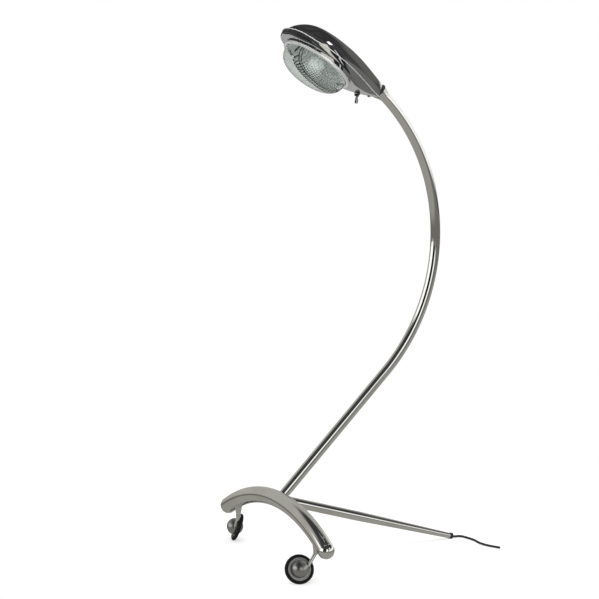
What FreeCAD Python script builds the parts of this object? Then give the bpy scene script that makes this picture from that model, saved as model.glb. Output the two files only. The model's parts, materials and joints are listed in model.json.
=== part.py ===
"""Wheeled examination lamp: two-caster arch, rear leg, bent arm and a teardrop head with a round glass.

Frame: millimetres, +Z up. The origin is the centre of the rear foot's flat contact face, on the floor.
The rear leg runs towards -X up to the arch, the lamp shines towards -X and down, and y = 0 halves the lamp.
"""
import math
import os

import FreeCAD
import Part

V = FreeCAD.Vector

# ---- overall layout ----
LEG_RUN = 528.0            # floor distance from the foot's contact centre to the arch's crest
CREST_Z = 168.0            # height of the arch tube's centreline at its crest
FIT_GAP = 0.05             # radial gap between pieces that sit inside one another
RUN_GAP = 0.06             # radial gap of a shaft turning in its bore
EPS = 0.02                 # gap that keeps faces of neighbouring pieces apart

# ---- arch ----
ARCH_BEND_R = 533.0        # radius of the arch's centreline
ARCH_HALF_DEG = 30.6       # half of the arch's sweep
ARCH_LEAN_DEG = 3.4        # the arch's ends sit slightly forward of its crest
ARCH_R = 21.2              # outer radius of the arch tube
ARCH_WALL = 2.0
BALL_SPIGOT = 22.0         # length of the end ball's plug inside the tube
BALL_GROOVE = 0.6          # depth of the shadow groove where ball meets tube

# ---- rear leg ----
LEG_R = 12.7
LEG_WALL = 1.6
LEG_STRAIGHT = 250.0       # cylindrical length before the taper
LEG_TIP_R = 7.35
LEG_TIP_Z = 7.9            # height of the leg's axis at the open tip
LEG_SPIGOT_START = 15.5
LEG_SPIGOT_END = 70.0
SPIGOT_BORE = 6.5

# ---- foot ----
FOOT_R = 8.7
FOOT_LENGTH = 9.0
FOOT_PLUG = 12.0
FOOT_BACK = 4.0            # the contact centre lies this far behind the foot's inner face

# ---- arm ----
ARM_R = 12.8
ARM_WALL = 1.6
ARM_LEAN_DEG = 44.5
ARM_ROOT_DROP = 10.7       # the arm's axis passes this far straight below the crest's centre
ARM_STRAIGHT = 453.0
ARM_BEND_R = 497.0
ARM_BEND_DEG = 95.1
ARM_SPIGOT_START = 12.0
ARM_SPIGOT_END = 95.0
ARM_SCREW_AT = 70.0
ARM_SCREW_R = 3.0

# ---- power cord ----
CORD_R = 3.0
CORD_BEND_R = 7.0
CORD_END_GAP = 30.0        # the cord stops this far short of the arm's end
TAIL_LIFT = 0.3            # clearance of the tail over the floor
TAIL_MOVES = [("arc", 16.0, -80.0), ("line", 20.0), ("arc", 120.0, -20.0), ("arc", 100.0, 35.0),
              ("line", 25.0)]

# ---- casters ----
STEM_DEG = 23.9            # arch angle at which each caster hangs
CASTER_YAW = {"left": 165.0, "right": 70.0}
CASTER_SIDE = {"left": -1.0, "right": 1.0}
WHEEL_R = 37.5
WHEEL_TILT_DEG = 21.0
TYRE_CROWN_R = 4.5
TYRE_SEAT_R = 29.0
HUB_WEB_HALF = 1.4         # half thickness of the hub's flat web
HUB_RIM_HALF = 3.6         # half width of the hub's rim under the tyre
HUB_RIM_T = 2.3            # thickness of that rim
TRAIL = 42.0               # horizontal distance from the stem to the wheel's centre
WHEEL_SIDE = -2.0          # sideways offset of the wheel's centre from the stem
BALL_R = 22.3              # radius of the hub's ball
BALL_OFFSET = 7.0          # distance of the ball's centre from the wheel's mid-plane
PART_GAP = 0.5             # half of the gap between the fixed and the turning hemisphere
AXLE_R = 4.0
STEM_R = 4.75
STEM_TOP = 24.0            # height of the stem above the socket's lower rim
SOCKET_Z = 85.0            # height of the socket's lower rim
SOCKET_LOW_R = 6.8
SOCKET_HIGH_R = 9.6
SOCKET_PLUG_R = 7.2
STRUT_R = 4.0
BOSS_R = 6.6
BOSS_H = 11.0
WASHER_T = 1.6
HOOD_T = 2.2               # wall of the fixed hemisphere
AXLE_BOSS_R = 7.5
AXLE_LENGTH = 29.0
CLIP_GROOVE = 1.0          # depth of the stem's clip groove
CLIP_SLOT = 1.5            # width of that groove
FLARE_UP = 16.0            # the socket reaches its full radius this far above its rim

# ---- head: shells ----
HEAD_DEG = 33.8            # rise of the seam plane towards the tip
SEAM_BELOW = 17.7          # the seam plane passes this far under the end of the arm's axis
HEAD_LENGTH = 318.2
HEAD_WIDEST = 215.0        # distance from the neck to the widest point
HEAD_HALF = 100.4          # half width there
NECK_HALF = 22.3           # half width at the neck
TAPER_POWER = 1.4
COVER_RISE = 56.2          # dome height over the seam at its highest
COVER_NECK_RISE = 33.0
COVER_PEAK = 163.5
COVER_SWELL = 0.76
COVER_POWER = 2.1          # roundness of the dome's cross-section
COVER_INSET = 3.0          # ledge of the cover inside the seam outline
BRIM_RISE = 5.0            # height of the low brim at the tip
BRIM_DEPTH = 10.0          # the dome ends this far behind the tip
HOUSING_NECK_DROP = 2.8
SHELL_T = 1.5
SEAM_HALF_T = 1.3          # half thickness of the seam trim
SEAM_LIP = 1.2             # the trim stands out this far from the housing
SEAM_WEB = 7.0             # width of the trim's flat web
NOSE_START = 250.0         # the underside starts to curve up this far from the neck

# ---- head: lamp unit ----
LENS_DEG = 38.0            # rise of the lens plane
LENS_AT = 189.9            # distance of the lens centre from the neck, along the seam plane
LENS_DROP = 22.1           # distance of the lens centre below the seam plane
SEAT_R = 97.0
SEAT_STAND = 2.5           # the seat stands this far proud of the housing's underside
BORE_R = 91.5
GASKET_T = 1.5
LENS_R = 94.0
LENS_FLANGE_T = 3.5
LENS_DEPTH = 50.0
LENS_GLASS_T = 4.0
LENS_POWER = 2.6
DOME_R = 89.0
RING_R = 97.6
RING_H = 6.6
RING_LIP_R = 89.6
REFLECTOR_R = 86.0
REFLECTOR_DEPTH = 44.0
REFLECTOR_T = 1.0
REFLECTOR_HOLE_R = 16.0
HOLDER_R = 14.0
HOLDER_BORE_R = 8.2
HOLDER_BELOW = 12.0        # the holder reaches this far below the bowl's top
HOLDER_ABOVE = 24.0        # and this far above it
HOLDER_RIM = 4.5           # width of the holder's collar
BULB_R = 22.0
BULB_CAP_R = 7.4
THREAD_PITCH = 2.8
THREAD_TURNS = 6

# ---- head: switch and neck ----
TOGGLE_AT = 50.0           # distance of the toggle from the neck
TOGGLE_TURN_DEG = 12.0     # the lever leans this far either way
BUSH_R = 5.9
BUSH_OUT = 9.0             # the bush stands out this far from the underside
NUT_ACROSS = 15.0
NUT_H = 3.2
BODY_X, BODY_Y, BODY_Z = 26.0, 14.0, 17.0
PIVOT_Z = 1.0              # height of the lever's pivot over the underside
PIVOT_PIN_R = 1.2
PIVOT_PIN_LENGTH = 9.0
LEVER_LENGTH = 27.0
LEVER_ROOT_R = 1.6
LEVER_TIP_R = 4.6
LEVER_BALL_R = 3.2
NECK_SCREW_AT = 17.0
SCREW_SHANK_R = 2.0
SCREW_DOME_R = 5.2
SCREW_LENGTH = 19.0
COLLAR_LENGTH = 21.0
SEAL_T = 3.0
FLANGE_T = 3.0
FLANGE_R = 13.6
SLEEVE_LENGTH = 12.0       # the flange's sleeve reaches this far into the arm
SLEEVE_GAP = 0.22          # its radial gap, which also clears the arm's curve
SLEEVE_BORE_R = 7.0

# ---- head: terminal block and leads ----
BLOCK_AT = V(96.0, 0.0, -3.0)
BLOCK_SIZE = V(24.0, 17.0, 12.0)
TERMINAL_X, TERMINAL_Y = 7.0, 4.0
TERMINAL_R = 2.2
LEAD_R = 1.3


def solid_of(shape):
    """The largest solid of a boolean result, cleaned of split faces."""
    solids = sorted(shape.Solids, key=lambda s: s.Volume)
    return solids[-1].removeSplitter()


def tube(base, axis, outer, inner, length):
    return Part.makeCylinder(outer, length, base, axis).cut(
        Part.makeCylinder(inner, length + 2 * EPS, base - axis * EPS, axis))


def turned(profile):
    """A solid of revolution about Z from a closed list of (radius, z) corners."""
    wire = Part.makePolygon([V(r, 0, z) for r, z in profile + profile[:1]])
    return Part.Face(wire).revolve(V(0, 0, 0), V(0, 0, 1), 360)


def turned_smooth(curve_points, rest):
    """A solid of revolution whose profile is a smooth curve closed by straight lines through rest."""
    curve = Part.BSplineCurve()
    curve.interpolate([V(r, 0, z) for r, z in curve_points])
    corners = [curve_points[-1]] + rest + [curve_points[0]]
    edges = [curve.toShape()]
    for a, b in zip(corners, corners[1:]):
        edges.append(Part.makeLine(V(a[0], 0, a[1]), V(b[0], 0, b[1])))
    return Part.Face(Part.Wire(edges)).revolve(V(0, 0, 0), V(0, 0, 1), 360)


def heading(deg):
    """Unit vector in the plane y = 0 that rises at deg from +X."""
    return V(math.cos(math.radians(deg)), 0, math.sin(math.radians(deg)))


def floor_heading(deg):
    """Unit vector in the floor plane, turned by deg from +X."""
    return V(math.cos(math.radians(deg)), math.sin(math.radians(deg)), 0)


def bent_rod(start, deg, moves, radius, toward=heading, normal=V(0, -1, 0)):
    """A round rod bent in one plane; a move is ("line", length) or ("arc", bend radius, turn in degrees)."""
    pieces = []
    point = start
    for move in moves:
        if move[0] == "line":
            pieces.append(Part.makeCylinder(radius, move[1], point, toward(deg)))
            point = point + toward(deg) * move[1]
        else:
            bend, turn = move[1], move[2]
            side = 1.0 if turn > 0 else -1.0
            centre = point + toward(deg + 90 * side) * bend
            disc = Part.Face(Part.Wire(Part.makeCircle(radius, point, toward(deg))))
            pieces.append(disc.revolve(centre, normal * side, abs(turn)))
            point = centre + toward(deg - 90 * side + turn) * bend
            deg = deg + turn
    rod = pieces[0]
    for piece in pieces[1:]:
        rod = rod.fuse(piece)
    return solid_of(rod), point, deg


def place(shape, point, rise_deg):
    """Moves a shape from its own frame to the lamp: its +X becomes the direction that rises forwards."""
    turn = FreeCAD.Rotation(V(0, 1, 0), rise_deg).multiply(FreeCAD.Rotation(V(0, 0, 1), 180))
    moved = shape.copy()
    moved.Placement = FreeCAD.Placement(point, turn).multiply(moved.Placement)
    return moved


nodes = {}

# ---------------------------------------------------------------- arch
crest = V(-LEG_RUN, 0, CREST_Z)
lean = FreeCAD.Placement(crest, FreeCAD.Rotation(V(0, 1, 0), ARCH_LEAN_DEG))


def arch_point(deg):
    """Centreline point of the arch, deg round from its crest towards +Y."""
    a = math.radians(deg)
    return lean.multVec(V(0, ARCH_BEND_R * math.sin(a), ARCH_BEND_R * (math.cos(a) - 1)))


def arch_rod(radius, half_deg):
    start = V(0, -ARCH_BEND_R * math.sin(math.radians(half_deg)),
              ARCH_BEND_R * (math.cos(math.radians(half_deg)) - 1))
    along = V(0, math.cos(math.radians(half_deg)), math.sin(math.radians(half_deg)))
    disc = Part.Face(Part.Wire(Part.makeCircle(radius, start, along)))
    rod = disc.revolve(V(0, 0, -ARCH_BEND_R), V(-1, 0, 0), 2 * half_deg)
    rod.Placement = lean.multiply(rod.Placement)
    return rod


arch_outer = arch_rod(ARCH_R, ARCH_HALF_DEG)
arch_hollow = arch_rod(ARCH_R - ARCH_WALL, ARCH_HALF_DEG + 1)
arch_skin = arch_rod(ARCH_R + EPS, ARCH_HALF_DEG)
arch = arch_outer.cut(arch_hollow)

# ---------------------------------------------------------------- leg and arm axes
leg_slope = math.degrees(math.atan2(CREST_Z - LEG_TIP_Z, LEG_RUN - FOOT_BACK))
leg_dir = heading(-leg_slope)
leg_length = (LEG_RUN - FOOT_BACK) / math.cos(math.radians(leg_slope))
arm_dir = heading(ARM_LEAN_DEG)
arm_root = crest - V(0, 0, ARM_ROOT_DROP)

leg_bore_r = LEG_R - LEG_WALL
arm_bore_r = ARM_R - ARM_WALL
leg_spigot_r = leg_bore_r - FIT_GAP
arm_spigot_r = arm_bore_r - FIT_GAP

arch = arch.cut(Part.makeCylinder(leg_spigot_r + FIT_GAP, LEG_SPIGOT_END, crest, leg_dir))
arch = arch.cut(Part.makeCylinder(arm_spigot_r + FIT_GAP, ARM_SPIGOT_END, arm_root, arm_dir))

# ---------------------------------------------------------------- casters' sockets in the arch
stem_points = {side: arch_point(STEM_DEG * CASTER_SIDE[side]) for side in CASTER_SIDE}
for point in stem_points.values():
    hole_base = V(point.x, point.y, SOCKET_Z)
    arch = arch.cut(Part.makeCylinder(SOCKET_PLUG_R + FIT_GAP, point.z - SOCKET_Z, hole_base, V(0, 0, 1)))
nodes["base_arch"] = solid_of(arch)

# ---------------------------------------------------------------- end balls
for side, sign in CASTER_SIDE.items():
    centre = arch_point(sign * ARCH_HALF_DEG)
    a = math.radians(sign * ARCH_HALF_DEG)
    outwards = lean.Rotation.multVec(V(0, sign * math.cos(a), -sign * math.sin(a)))
    frame = FreeCAD.Placement(centre + outwards * EPS, FreeCAD.Rotation(V(0, 0, 1), outwards))
    plug_r = ARCH_R - ARCH_WALL - 3 * FIT_GAP
    groove_r = ARCH_R - BALL_GROOVE
    ball = Part.makeSphere(ARCH_R, V(0, 0, 0), V(0, 0, 1), 0, 90, 360)
    ball = ball.cut(tube(V(0, 0, -EPS), V(0, 0, 1), ARCH_R + 1, groove_r, 1.0))
    plug = turned([(0, -BALL_SPIGOT), (plug_r - 4, -BALL_SPIGOT), (plug_r - 1.6, -BALL_SPIGOT + 4),
                   (plug_r - 0.3, -1), (plug_r - 0.3, 0.5), (0, 0.5)])
    ball = ball.fuse(plug)
    ball.Placement = frame.multiply(ball.Placement)
    nodes["end_ball_" + side] = solid_of(ball.cut(nodes["base_arch"]))

# ---------------------------------------------------------------- rear leg
def leg_frame(distance):
    return FreeCAD.Placement(crest + leg_dir * distance, FreeCAD.Rotation(V(0, 0, 1), leg_dir))


leg_tube = turned([(leg_bore_r, 0), (LEG_R, 0), (LEG_R, LEG_STRAIGHT), (LEG_TIP_R, leg_length),
                   (LEG_TIP_R - LEG_WALL, leg_length), (leg_bore_r, LEG_STRAIGHT)])
leg_tube.Placement = leg_frame(0)
arm_from_leg = math.radians(ARM_LEAN_DEG + leg_slope)
axes_meet = ARM_ROOT_DROP * math.cos(math.radians(ARM_LEAN_DEG)) / math.sin(arm_from_leg)
apex = crest + leg_dir * axes_meet
cord_way = Part.makeCylinder(SPIGOT_BORE, ARM_SPIGOT_START * 3, apex, arm_dir)
nodes["rear_leg"] = solid_of(leg_tube.cut(arch_skin).cut(cord_way))

leg_spigot = tube(crest + leg_dir * LEG_SPIGOT_START, leg_dir, leg_spigot_r, SPIGOT_BORE,
                  LEG_SPIGOT_END - LEG_SPIGOT_START)
nodes["leg_spigot"] = solid_of(leg_spigot.cut(cord_way))

plug_r = LEG_TIP_R - LEG_WALL - FIT_GAP
foot = turned([(CORD_R + FIT_GAP, -FOOT_PLUG), (plug_r, -FOOT_PLUG), (plug_r, EPS), (FOOT_R - 0.8, EPS),
               (FOOT_R, 1.0), (FOOT_R, FOOT_LENGTH - 1.5), (FOOT_R - 1.5, FOOT_LENGTH),
               (CORD_R + FIT_GAP, FOOT_LENGTH)])
foot.Placement = leg_frame(leg_length)
floor_cut = Part.makeBox(60, 60, 30, V(-30, -30, -30))
nodes["leg_foot"] = solid_of(foot.cut(floor_cut))

# ---------------------------------------------------------------- arm
arm_moves = [("line", ARM_STRAIGHT), ("arc", ARM_BEND_R, ARM_BEND_DEG)]
arm_outer, neck, neck_deg = bent_rod(arm_root, ARM_LEAN_DEG, arm_moves, ARM_R)
arm_inner = bent_rod(arm_root, ARM_LEAN_DEG, arm_moves + [("line", 5.0)], arm_bore_r)[0]
leg_skin = Part.makeCylinder(LEG_R + EPS, LEG_STRAIGHT, crest, leg_dir)
arm = arm_outer.cut(arm_inner).cut(arch_skin).cut(leg_skin)

screw_point = arm_root + arm_dir * ARM_SCREW_AT
screw_hole = Part.makeCylinder(ARM_SCREW_R + FIT_GAP, ARM_R + 5, screw_point, V(0, 1, 0))
arm = arm.cut(screw_hole)
nodes["arm_tube"] = solid_of(arm)

arm_spigot = tube(arm_root + arm_dir * ARM_SPIGOT_START, arm_dir, arm_spigot_r, SPIGOT_BORE,
                  ARM_SPIGOT_END - ARM_SPIGOT_START)
arm_spigot = arm_spigot.cut(Part.makeCylinder(leg_spigot_r + FIT_GAP, LEG_STRAIGHT, crest, leg_dir))
arm_spigot = arm_spigot.cut(leg_skin).cut(screw_hole)
nodes["arm_spigot"] = solid_of(arm_spigot)

grub = Part.makeCylinder(ARM_SCREW_R, ARM_R - SPIGOT_BORE - 1.0, screw_point + V(0, SPIGOT_BORE + 0.5, 0),
                         V(0, 1, 0))
grub = grub.cut(Part.makeBox(1.0, 1.5, 2 * ARM_SCREW_R, screw_point + V(-0.5, ARM_R - 1.5, -ARM_SCREW_R)))
nodes["arm_grub_screw"] = solid_of(grub)

# ---------------------------------------------------------------- power cord
apex_turn = 180 - leg_slope - ARM_LEAN_DEG
tangent = CORD_BEND_R * math.tan(math.radians(apex_turn) / 2)
apex_up = (apex - arm_root).dot(arm_dir)
leg_run_cord = leg_length + FOOT_LENGTH - axes_meet - tangent
cord_start = apex + leg_dir * (leg_run_cord + tangent)
cord_moves = [("line", leg_run_cord), ("arc", CORD_BEND_R, -apex_turn),
              ("line", ARM_STRAIGHT - apex_up - tangent),
              ("arc", ARM_BEND_R, ARM_BEND_DEG - math.degrees(CORD_END_GAP / ARM_BEND_R))]
nodes["power_cord"] = bent_rod(cord_start, 180 - leg_slope, cord_moves, CORD_R)[0]

tail_start = cord_start + leg_dir * EPS
settle_r = (tail_start.z - CORD_R - TAIL_LIFT) / (1 - math.cos(math.radians(leg_slope)))
settle, settled, _ = bent_rod(tail_start, -leg_slope, [("arc", settle_r, leg_slope)], CORD_R)
tail = bent_rod(settled, 0.0, TAIL_MOVES, CORD_R, floor_heading, V(0, 0, 1))[0]
nodes["cord_tail"] = solid_of(settle.fuse(tail))

# ---------------------------------------------------------------- casters
tilt = math.radians(WHEEL_TILT_DEG)
wheel_height = (WHEEL_R - TYRE_CROWN_R) * math.cos(tilt) + TYRE_CROWN_R
wheel_centre = V(TRAIL, WHEEL_SIDE, wheel_height)
wheel_axis = V(0, math.cos(tilt), math.sin(tilt))
ball_centre = wheel_centre + wheel_axis * BALL_OFFSET
wheel_frame = FreeCAD.Placement(ball_centre, FreeCAD.Rotation(V(0, 0, 1), wheel_axis))
rim_z = -BALL_OFFSET


def in_wheel(shape):
    moved = shape.copy()
    moved.Placement = wheel_frame.multiply(moved.Placement)
    return moved


def half_ball(radius, sign):
    low, high = (0, 90) if sign > 0 else (-90, 0)
    return Part.makeSphere(radius, V(0, 0, 0), V(0, 0, 1), low, high, 360)


def tyre_ring():
    crown = WHEEL_R - TYRE_CROWN_R
    low = V(crown, 0, rim_z - TYRE_CROWN_R)
    high = V(crown, 0, rim_z + TYRE_CROWN_R)
    arc = Part.Arc(low, V(WHEEL_R, 0, rim_z), high).toShape()
    inner = TYRE_SEAT_R + FIT_GAP
    a, b = V(inner, 0, rim_z + TYRE_CROWN_R), V(inner, 0, rim_z - TYRE_CROWN_R)
    wire = Part.Wire([arc, Part.makeLine(high, a), Part.makeLine(a, b), Part.makeLine(b, low)])
    return Part.Face(wire).revolve(V(0, 0, 0), V(0, 0, 1), 360)


def hub_disc():
    """Turning hemisphere with the dished disc that carries the tyre."""
    rim_r = TYRE_SEAT_R - HUB_RIM_T
    web_r = rim_r - 0.8
    half = [(18, HUB_WEB_HALF), (web_r, HUB_WEB_HALF), (rim_r, HUB_RIM_HALF), (TYRE_SEAT_R, HUB_RIM_HALF)]
    disc = turned([(r, rim_z - z) for r, z in half] + [(r, rim_z + z) for r, z in reversed(half)])
    ball = half_ball(BALL_R, -1).cut(Part.makeCylinder(BALL_R + 1, PART_GAP, V(0, 0, -PART_GAP), V(0, 0, 1)))
    pocket = turned([(8, 1), (17, 1), (15, -9), (8, -13)])
    bore = Part.makeCylinder(AXLE_R + RUN_GAP, 17.5, V(0, 0, -17), V(0, 0, 1))
    return ball.fuse(disc).cut(pocket).cut(bore)


def hood_shell():
    """Fixed hemisphere with its axle boss, strut and swivel boss."""
    shell = half_ball(BALL_R, 1).cut(half_ball(BALL_R - HOOD_T, 1))
    shell = shell.cut(Part.makeCylinder(BALL_R + 1, PART_GAP, V(0, 0, 0), V(0, 0, 1)))
    boss = Part.makeCylinder(AXLE_BOSS_R, BALL_R - 1.5 - PART_GAP, V(0, 0, PART_GAP), V(0, 0, 1))
    body = in_wheel(shell.fuse(boss))
    top = SOCKET_Z - WASHER_T - 2 * EPS
    foot_of_strut = ball_centre + V(-19.5, 1.5, 4.5)
    head_of_strut = V(0, 0, top - BOSS_H + 4)
    reach = foot_of_strut - head_of_strut
    strut = Part.makeCone(BOSS_R - 1.6, STRUT_R, reach.Length, head_of_strut, reach)
    strut = strut.fuse(Part.makeSphere(STRUT_R, foot_of_strut))
    strut = strut.cut(in_wheel(half_ball(BALL_R - 1.0, 1)))
    swivel_boss = turned([(0, top - BOSS_H), (BOSS_R - 1.5, top - BOSS_H), (BOSS_R, top - BOSS_H + 2.5),
                          (BOSS_R, top), (0, top)])
    keep_off = Part.makeCylinder(WHEEL_R + 1.0, 40, V(0, 0, -40), V(0, 0, 1))
    body = body.fuse(strut.cut(in_wheel(keep_off))).fuse(swivel_boss)
    body = body.cut(in_wheel(Part.makeCylinder(AXLE_R + FIT_GAP, 14, V(0, 0, 0), V(0, 0, 1))))
    return body.cut(Part.makeCylinder(STEM_R + FIT_GAP, BOSS_H - 2, V(0, 0, top - BOSS_H + 2), V(0, 0, 1)))


def caster_parts():
    top = SOCKET_Z - WASHER_T - 2 * EPS
    stem_length = STEM_TOP + WASHER_T + BOSS_H - 2.2
    groove_z = SOCKET_Z + STEM_TOP - 3.2
    stem = Part.makeCylinder(STEM_R, stem_length, V(0, 0, SOCKET_Z + STEM_TOP - stem_length), V(0, 0, 1))
    stem = stem.cut(tube(V(0, 0, groove_z), V(0, 0, 1), STEM_R + 1, STEM_R - CLIP_GROOVE, CLIP_SLOT))
    clip = tube(V(0, 0, groove_z + EPS), V(0, 0, 1), STEM_R + 1.6, STEM_R - CLIP_GROOVE + FIT_GAP,
                CLIP_SLOT - 2 * EPS)
    clip = clip.cut(Part.makeBox(8, 3, 4, V(0, -1.5, groove_z - 1)))
    washer = tube(V(0, 0, top + EPS), V(0, 0, 1), BOSS_R + 0.4, STEM_R + FIT_GAP, WASHER_T)
    axle = Part.makeCylinder(AXLE_R, AXLE_LENGTH, V(0, 0, -16), V(0, 0, 1))
    return {
        "caster_hood": hood_shell(),
        "caster_stem": stem,
        "caster_clip": clip,
        "caster_washer": washer,
        "caster_axle": in_wheel(axle),
        "caster_hub": in_wheel(hub_disc()),
        "caster_tyre": in_wheel(tyre_ring()),
    }


socket_top = SOCKET_Z + STEM_TOP - 5.0
for side, point in stem_points.items():
    spin = FreeCAD.Placement(V(point.x, point.y, 0), FreeCAD.Rotation(V(0, 0, 1), CASTER_YAW[side]))
    for name, shape in caster_parts().items():
        shape.Placement = spin.multiply(shape.Placement)
        nodes[name + "_" + side] = solid_of(shape)
    flare_z = SOCKET_Z + FLARE_UP
    outer = turned([(0, SOCKET_Z), (SOCKET_LOW_R, SOCKET_Z), (SOCKET_LOW_R + 0.6, SOCKET_Z + 3),
                    (SOCKET_HIGH_R, flare_z), (SOCKET_HIGH_R, flare_z + 8), (0, flare_z + 8)])
    outer.translate(V(point.x, point.y, 0))
    outer = outer.cut(arch_skin)
    lower = solid_of(outer.common(Part.makeBox(40, 40, 30, V(point.x - 20, point.y - 20, SOCKET_Z - 1))))
    plug = Part.makeCylinder(SOCKET_PLUG_R, socket_top - SOCKET_Z, V(point.x, point.y, SOCKET_Z), V(0, 0, 1))
    socket = lower.fuse(plug.common(Part.makeCylinder(SOCKET_LOW_R - 0.1, 60, V(point.x, point.y, SOCKET_Z),
                                                      V(0, 0, 1))))
    stem_bore = Part.makeCylinder(STEM_R + RUN_GAP, 60, V(point.x, point.y, SOCKET_Z - 10), V(0, 0, 1))
    socket = socket.cut(stem_bore)
    nodes["caster_socket_" + side] = solid_of(socket)

# ---------------------------------------------------------------- head shells
lens_pitch = math.tan(math.radians(LENS_DEG - HEAD_DEG))


def half_width(s):
    """Half width of the seam outline at distance s from the neck."""
    if s >= HEAD_WIDEST:
        q = min(1.0, (s - HEAD_WIDEST) / (HEAD_LENGTH - HEAD_WIDEST))
        return HEAD_HALF * math.sqrt(max(0.0, 1 - q * q))
    q = max(0.0, s / HEAD_WIDEST)
    swell = q ** TAPER_POWER * (TAPER_POWER + 1 - TAPER_POWER * q)
    return NECK_HALF + (HEAD_HALF - NECK_HALF) * swell


def ease(q):
    q = min(1.0, max(0.0, q))
    return q * q * (3 - 2 * q)


def cover_rise(s):
    """Height of the dome over the seam plane."""
    if s < COVER_PEAK:
        q = max(0.0, s) / COVER_PEAK
        return COVER_NECK_RISE + (COVER_RISE - COVER_NECK_RISE) * math.sin(q * math.pi / 2) ** COVER_SWELL
    q = min(1.0, (s - COVER_PEAK) / (HEAD_LENGTH - BRIM_DEPTH - COVER_PEAK))
    return BRIM_RISE + (COVER_RISE - BRIM_RISE) * (1 - q ** 3.1) ** 0.63


def housing_drop(s):
    """Depth of the housing under the seam plane."""
    rear_end = LENS_AT - LENS_R
    plane = LENS_DROP - (s - LENS_AT) * lens_pitch - SEAT_STAND
    if s < rear_end:
        rear = LENS_DROP + LENS_R * lens_pitch - SEAT_STAND
        swell = math.sin(max(0.0, s) / rear_end * math.pi / 2)
        return HOUSING_NECK_DROP + (rear - HOUSING_NECK_DROP) * swell
    if s > NOSE_START:
        q = min(1.0, (s - NOSE_START) / (HEAD_LENGTH - NOSE_START))
        return plane * (1 - q ** 3.2) ** (1 / 2.4)
    return plane


def section(s, half, height, power, z_base):
    """Closed wire across the head at s: a rounded arch of the given half width and signed height."""
    steps = 24
    points = []
    for i in range(steps + 1):
        a = math.pi * i / steps
        c, n = math.cos(a), math.sin(a)
        y = half * math.copysign(abs(c) ** (2 / power), c)
        points.append(V(s, y, z_base + height * abs(n) ** (2 / power)))
    curve = Part.BSplineCurve()
    curve.interpolate(points)
    return Part.Wire([curve.toShape(), Part.makeLine(points[-1], points[0])])


def stations(inset, first):
    rear = [first, 0.0, 22.0, 45.0, 70.0, 97.0, 125.0, 150.0, 175.0, 197.0, HEAD_WIDEST]
    front = []
    nose = HEAD_LENGTH - inset - HEAD_WIDEST
    for deg in (14, 27, 39, 50, 60, 69, 77, 83, 87, 89):
        front.append(HEAD_WIDEST + nose * math.sin(math.radians(deg)))
    return rear + front


def shell_body(rise, power_at, inset, thin, sign):
    """Lofted body of one half of the head; thin shrinks it for the hollow, sign is +1 for the cover."""
    wires = []
    for s in stations(inset + thin, -14.0):
        stretch = (HEAD_LENGTH - HEAD_WIDEST) / (HEAD_LENGTH - HEAD_WIDEST - inset - thin)
        src = HEAD_WIDEST + (s - HEAD_WIDEST) * stretch if s > HEAD_WIDEST else s
        half = max(0.6, half_width(src) - inset - thin)
        height = max(0.35, rise(src) - thin)
        wires.append(section(s, half, sign * height, power_at(src), 0.0))
    return Part.makeLoft(wires, True, False)


def cover_power(s):
    return COVER_POWER


def housing_power(s):
    return 2.3 + 3.2 * ease(s / 100.0)


def slab(low, high):
    return Part.makeBox(2 * HEAD_LENGTH, 400, high - low, V(-100, -200, low))


cover_out = shell_body(cover_rise, cover_power, COVER_INSET, 0.0, 1.0)
cover_in = shell_body(cover_rise, cover_power, COVER_INSET, SHELL_T, 1.0)
housing_out = shell_body(housing_drop, housing_power, 0.0, 0.0, -1.0)
housing_in = shell_body(housing_drop, housing_power, 0.0, SHELL_T, -1.0)

seam_points = []
for i in range(0, 18):
    seam_points.append((12.0 * i, half_width(12.0 * i)))
for deg in (0, 12, 24, 36, 48, 60, 71, 81):
    s = HEAD_WIDEST + (HEAD_LENGTH - HEAD_WIDEST) * math.sin(math.radians(deg))
    seam_points.append((s, half_width(s)))


def seam_plate(grow, low, high, back):
    """Flat plate along the seam outline, grown or shrunk, closed straight across the neck at -back."""
    stretch = (HEAD_LENGTH + grow - HEAD_WIDEST) / (HEAD_LENGTH - HEAD_WIDEST)
    near = [V(s if s < HEAD_WIDEST else HEAD_WIDEST + (s - HEAD_WIDEST) * stretch, w + grow, low)
            for s, w in seam_points]
    points = [V(-back, near[0].y, low)] + near + [V(HEAD_LENGTH + grow, 0, low)]
    points = points + [V(p.x, -p.y, low) for p in reversed(near)] + [V(-back, -near[0].y, low)]
    curve = Part.BSplineCurve()
    curve.interpolate(points)
    wire = Part.Wire([curve.toShape(), Part.makeLine(points[-1], points[0])])
    return Part.Face(wire).extrude(V(0, 0, high - low))


lens_point = V(LENS_AT, 0, -LENS_DROP)
lens_in_head = FreeCAD.Placement(lens_point, FreeCAD.Rotation(V(0, 1, 0), -(LENS_DEG - HEAD_DEG)))


def in_head(shape):
    """From the lens frame (+Z into the head) to the head frame."""
    moved = shape.copy()
    moved.Placement = lens_in_head.multiply(moved.Placement)
    return moved


# neck plane: square to the end of the arm, through the end of its axis
neck_tilt = 180.0 - neck_deg
neck_in_head = FreeCAD.Placement(V(0, 0, SEAM_BELOW), FreeCAD.Rotation(V(0, 1, 0), -(neck_tilt - HEAD_DEG)))


def from_neck(shape):
    """From the neck frame (+X along the arm's end, into the head) to the head frame."""
    moved = shape.copy()
    moved.Placement = neck_in_head.multiply(moved.Placement)
    return moved


behind_neck = from_neck(Part.makeBox(80, 200, 200, V(-80, -100, -100)))
flange_seat = from_neck(Part.makeCylinder(FLANGE_R + FIT_GAP, 30, V(-20, 0, 0), V(1, 0, 0)))

cover = cover_out.cut(cover_in)
cover = cover.cut(slab(-100, SEAM_HALF_T)).cut(behind_neck)
cover = cover.cut(flange_seat)

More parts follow.
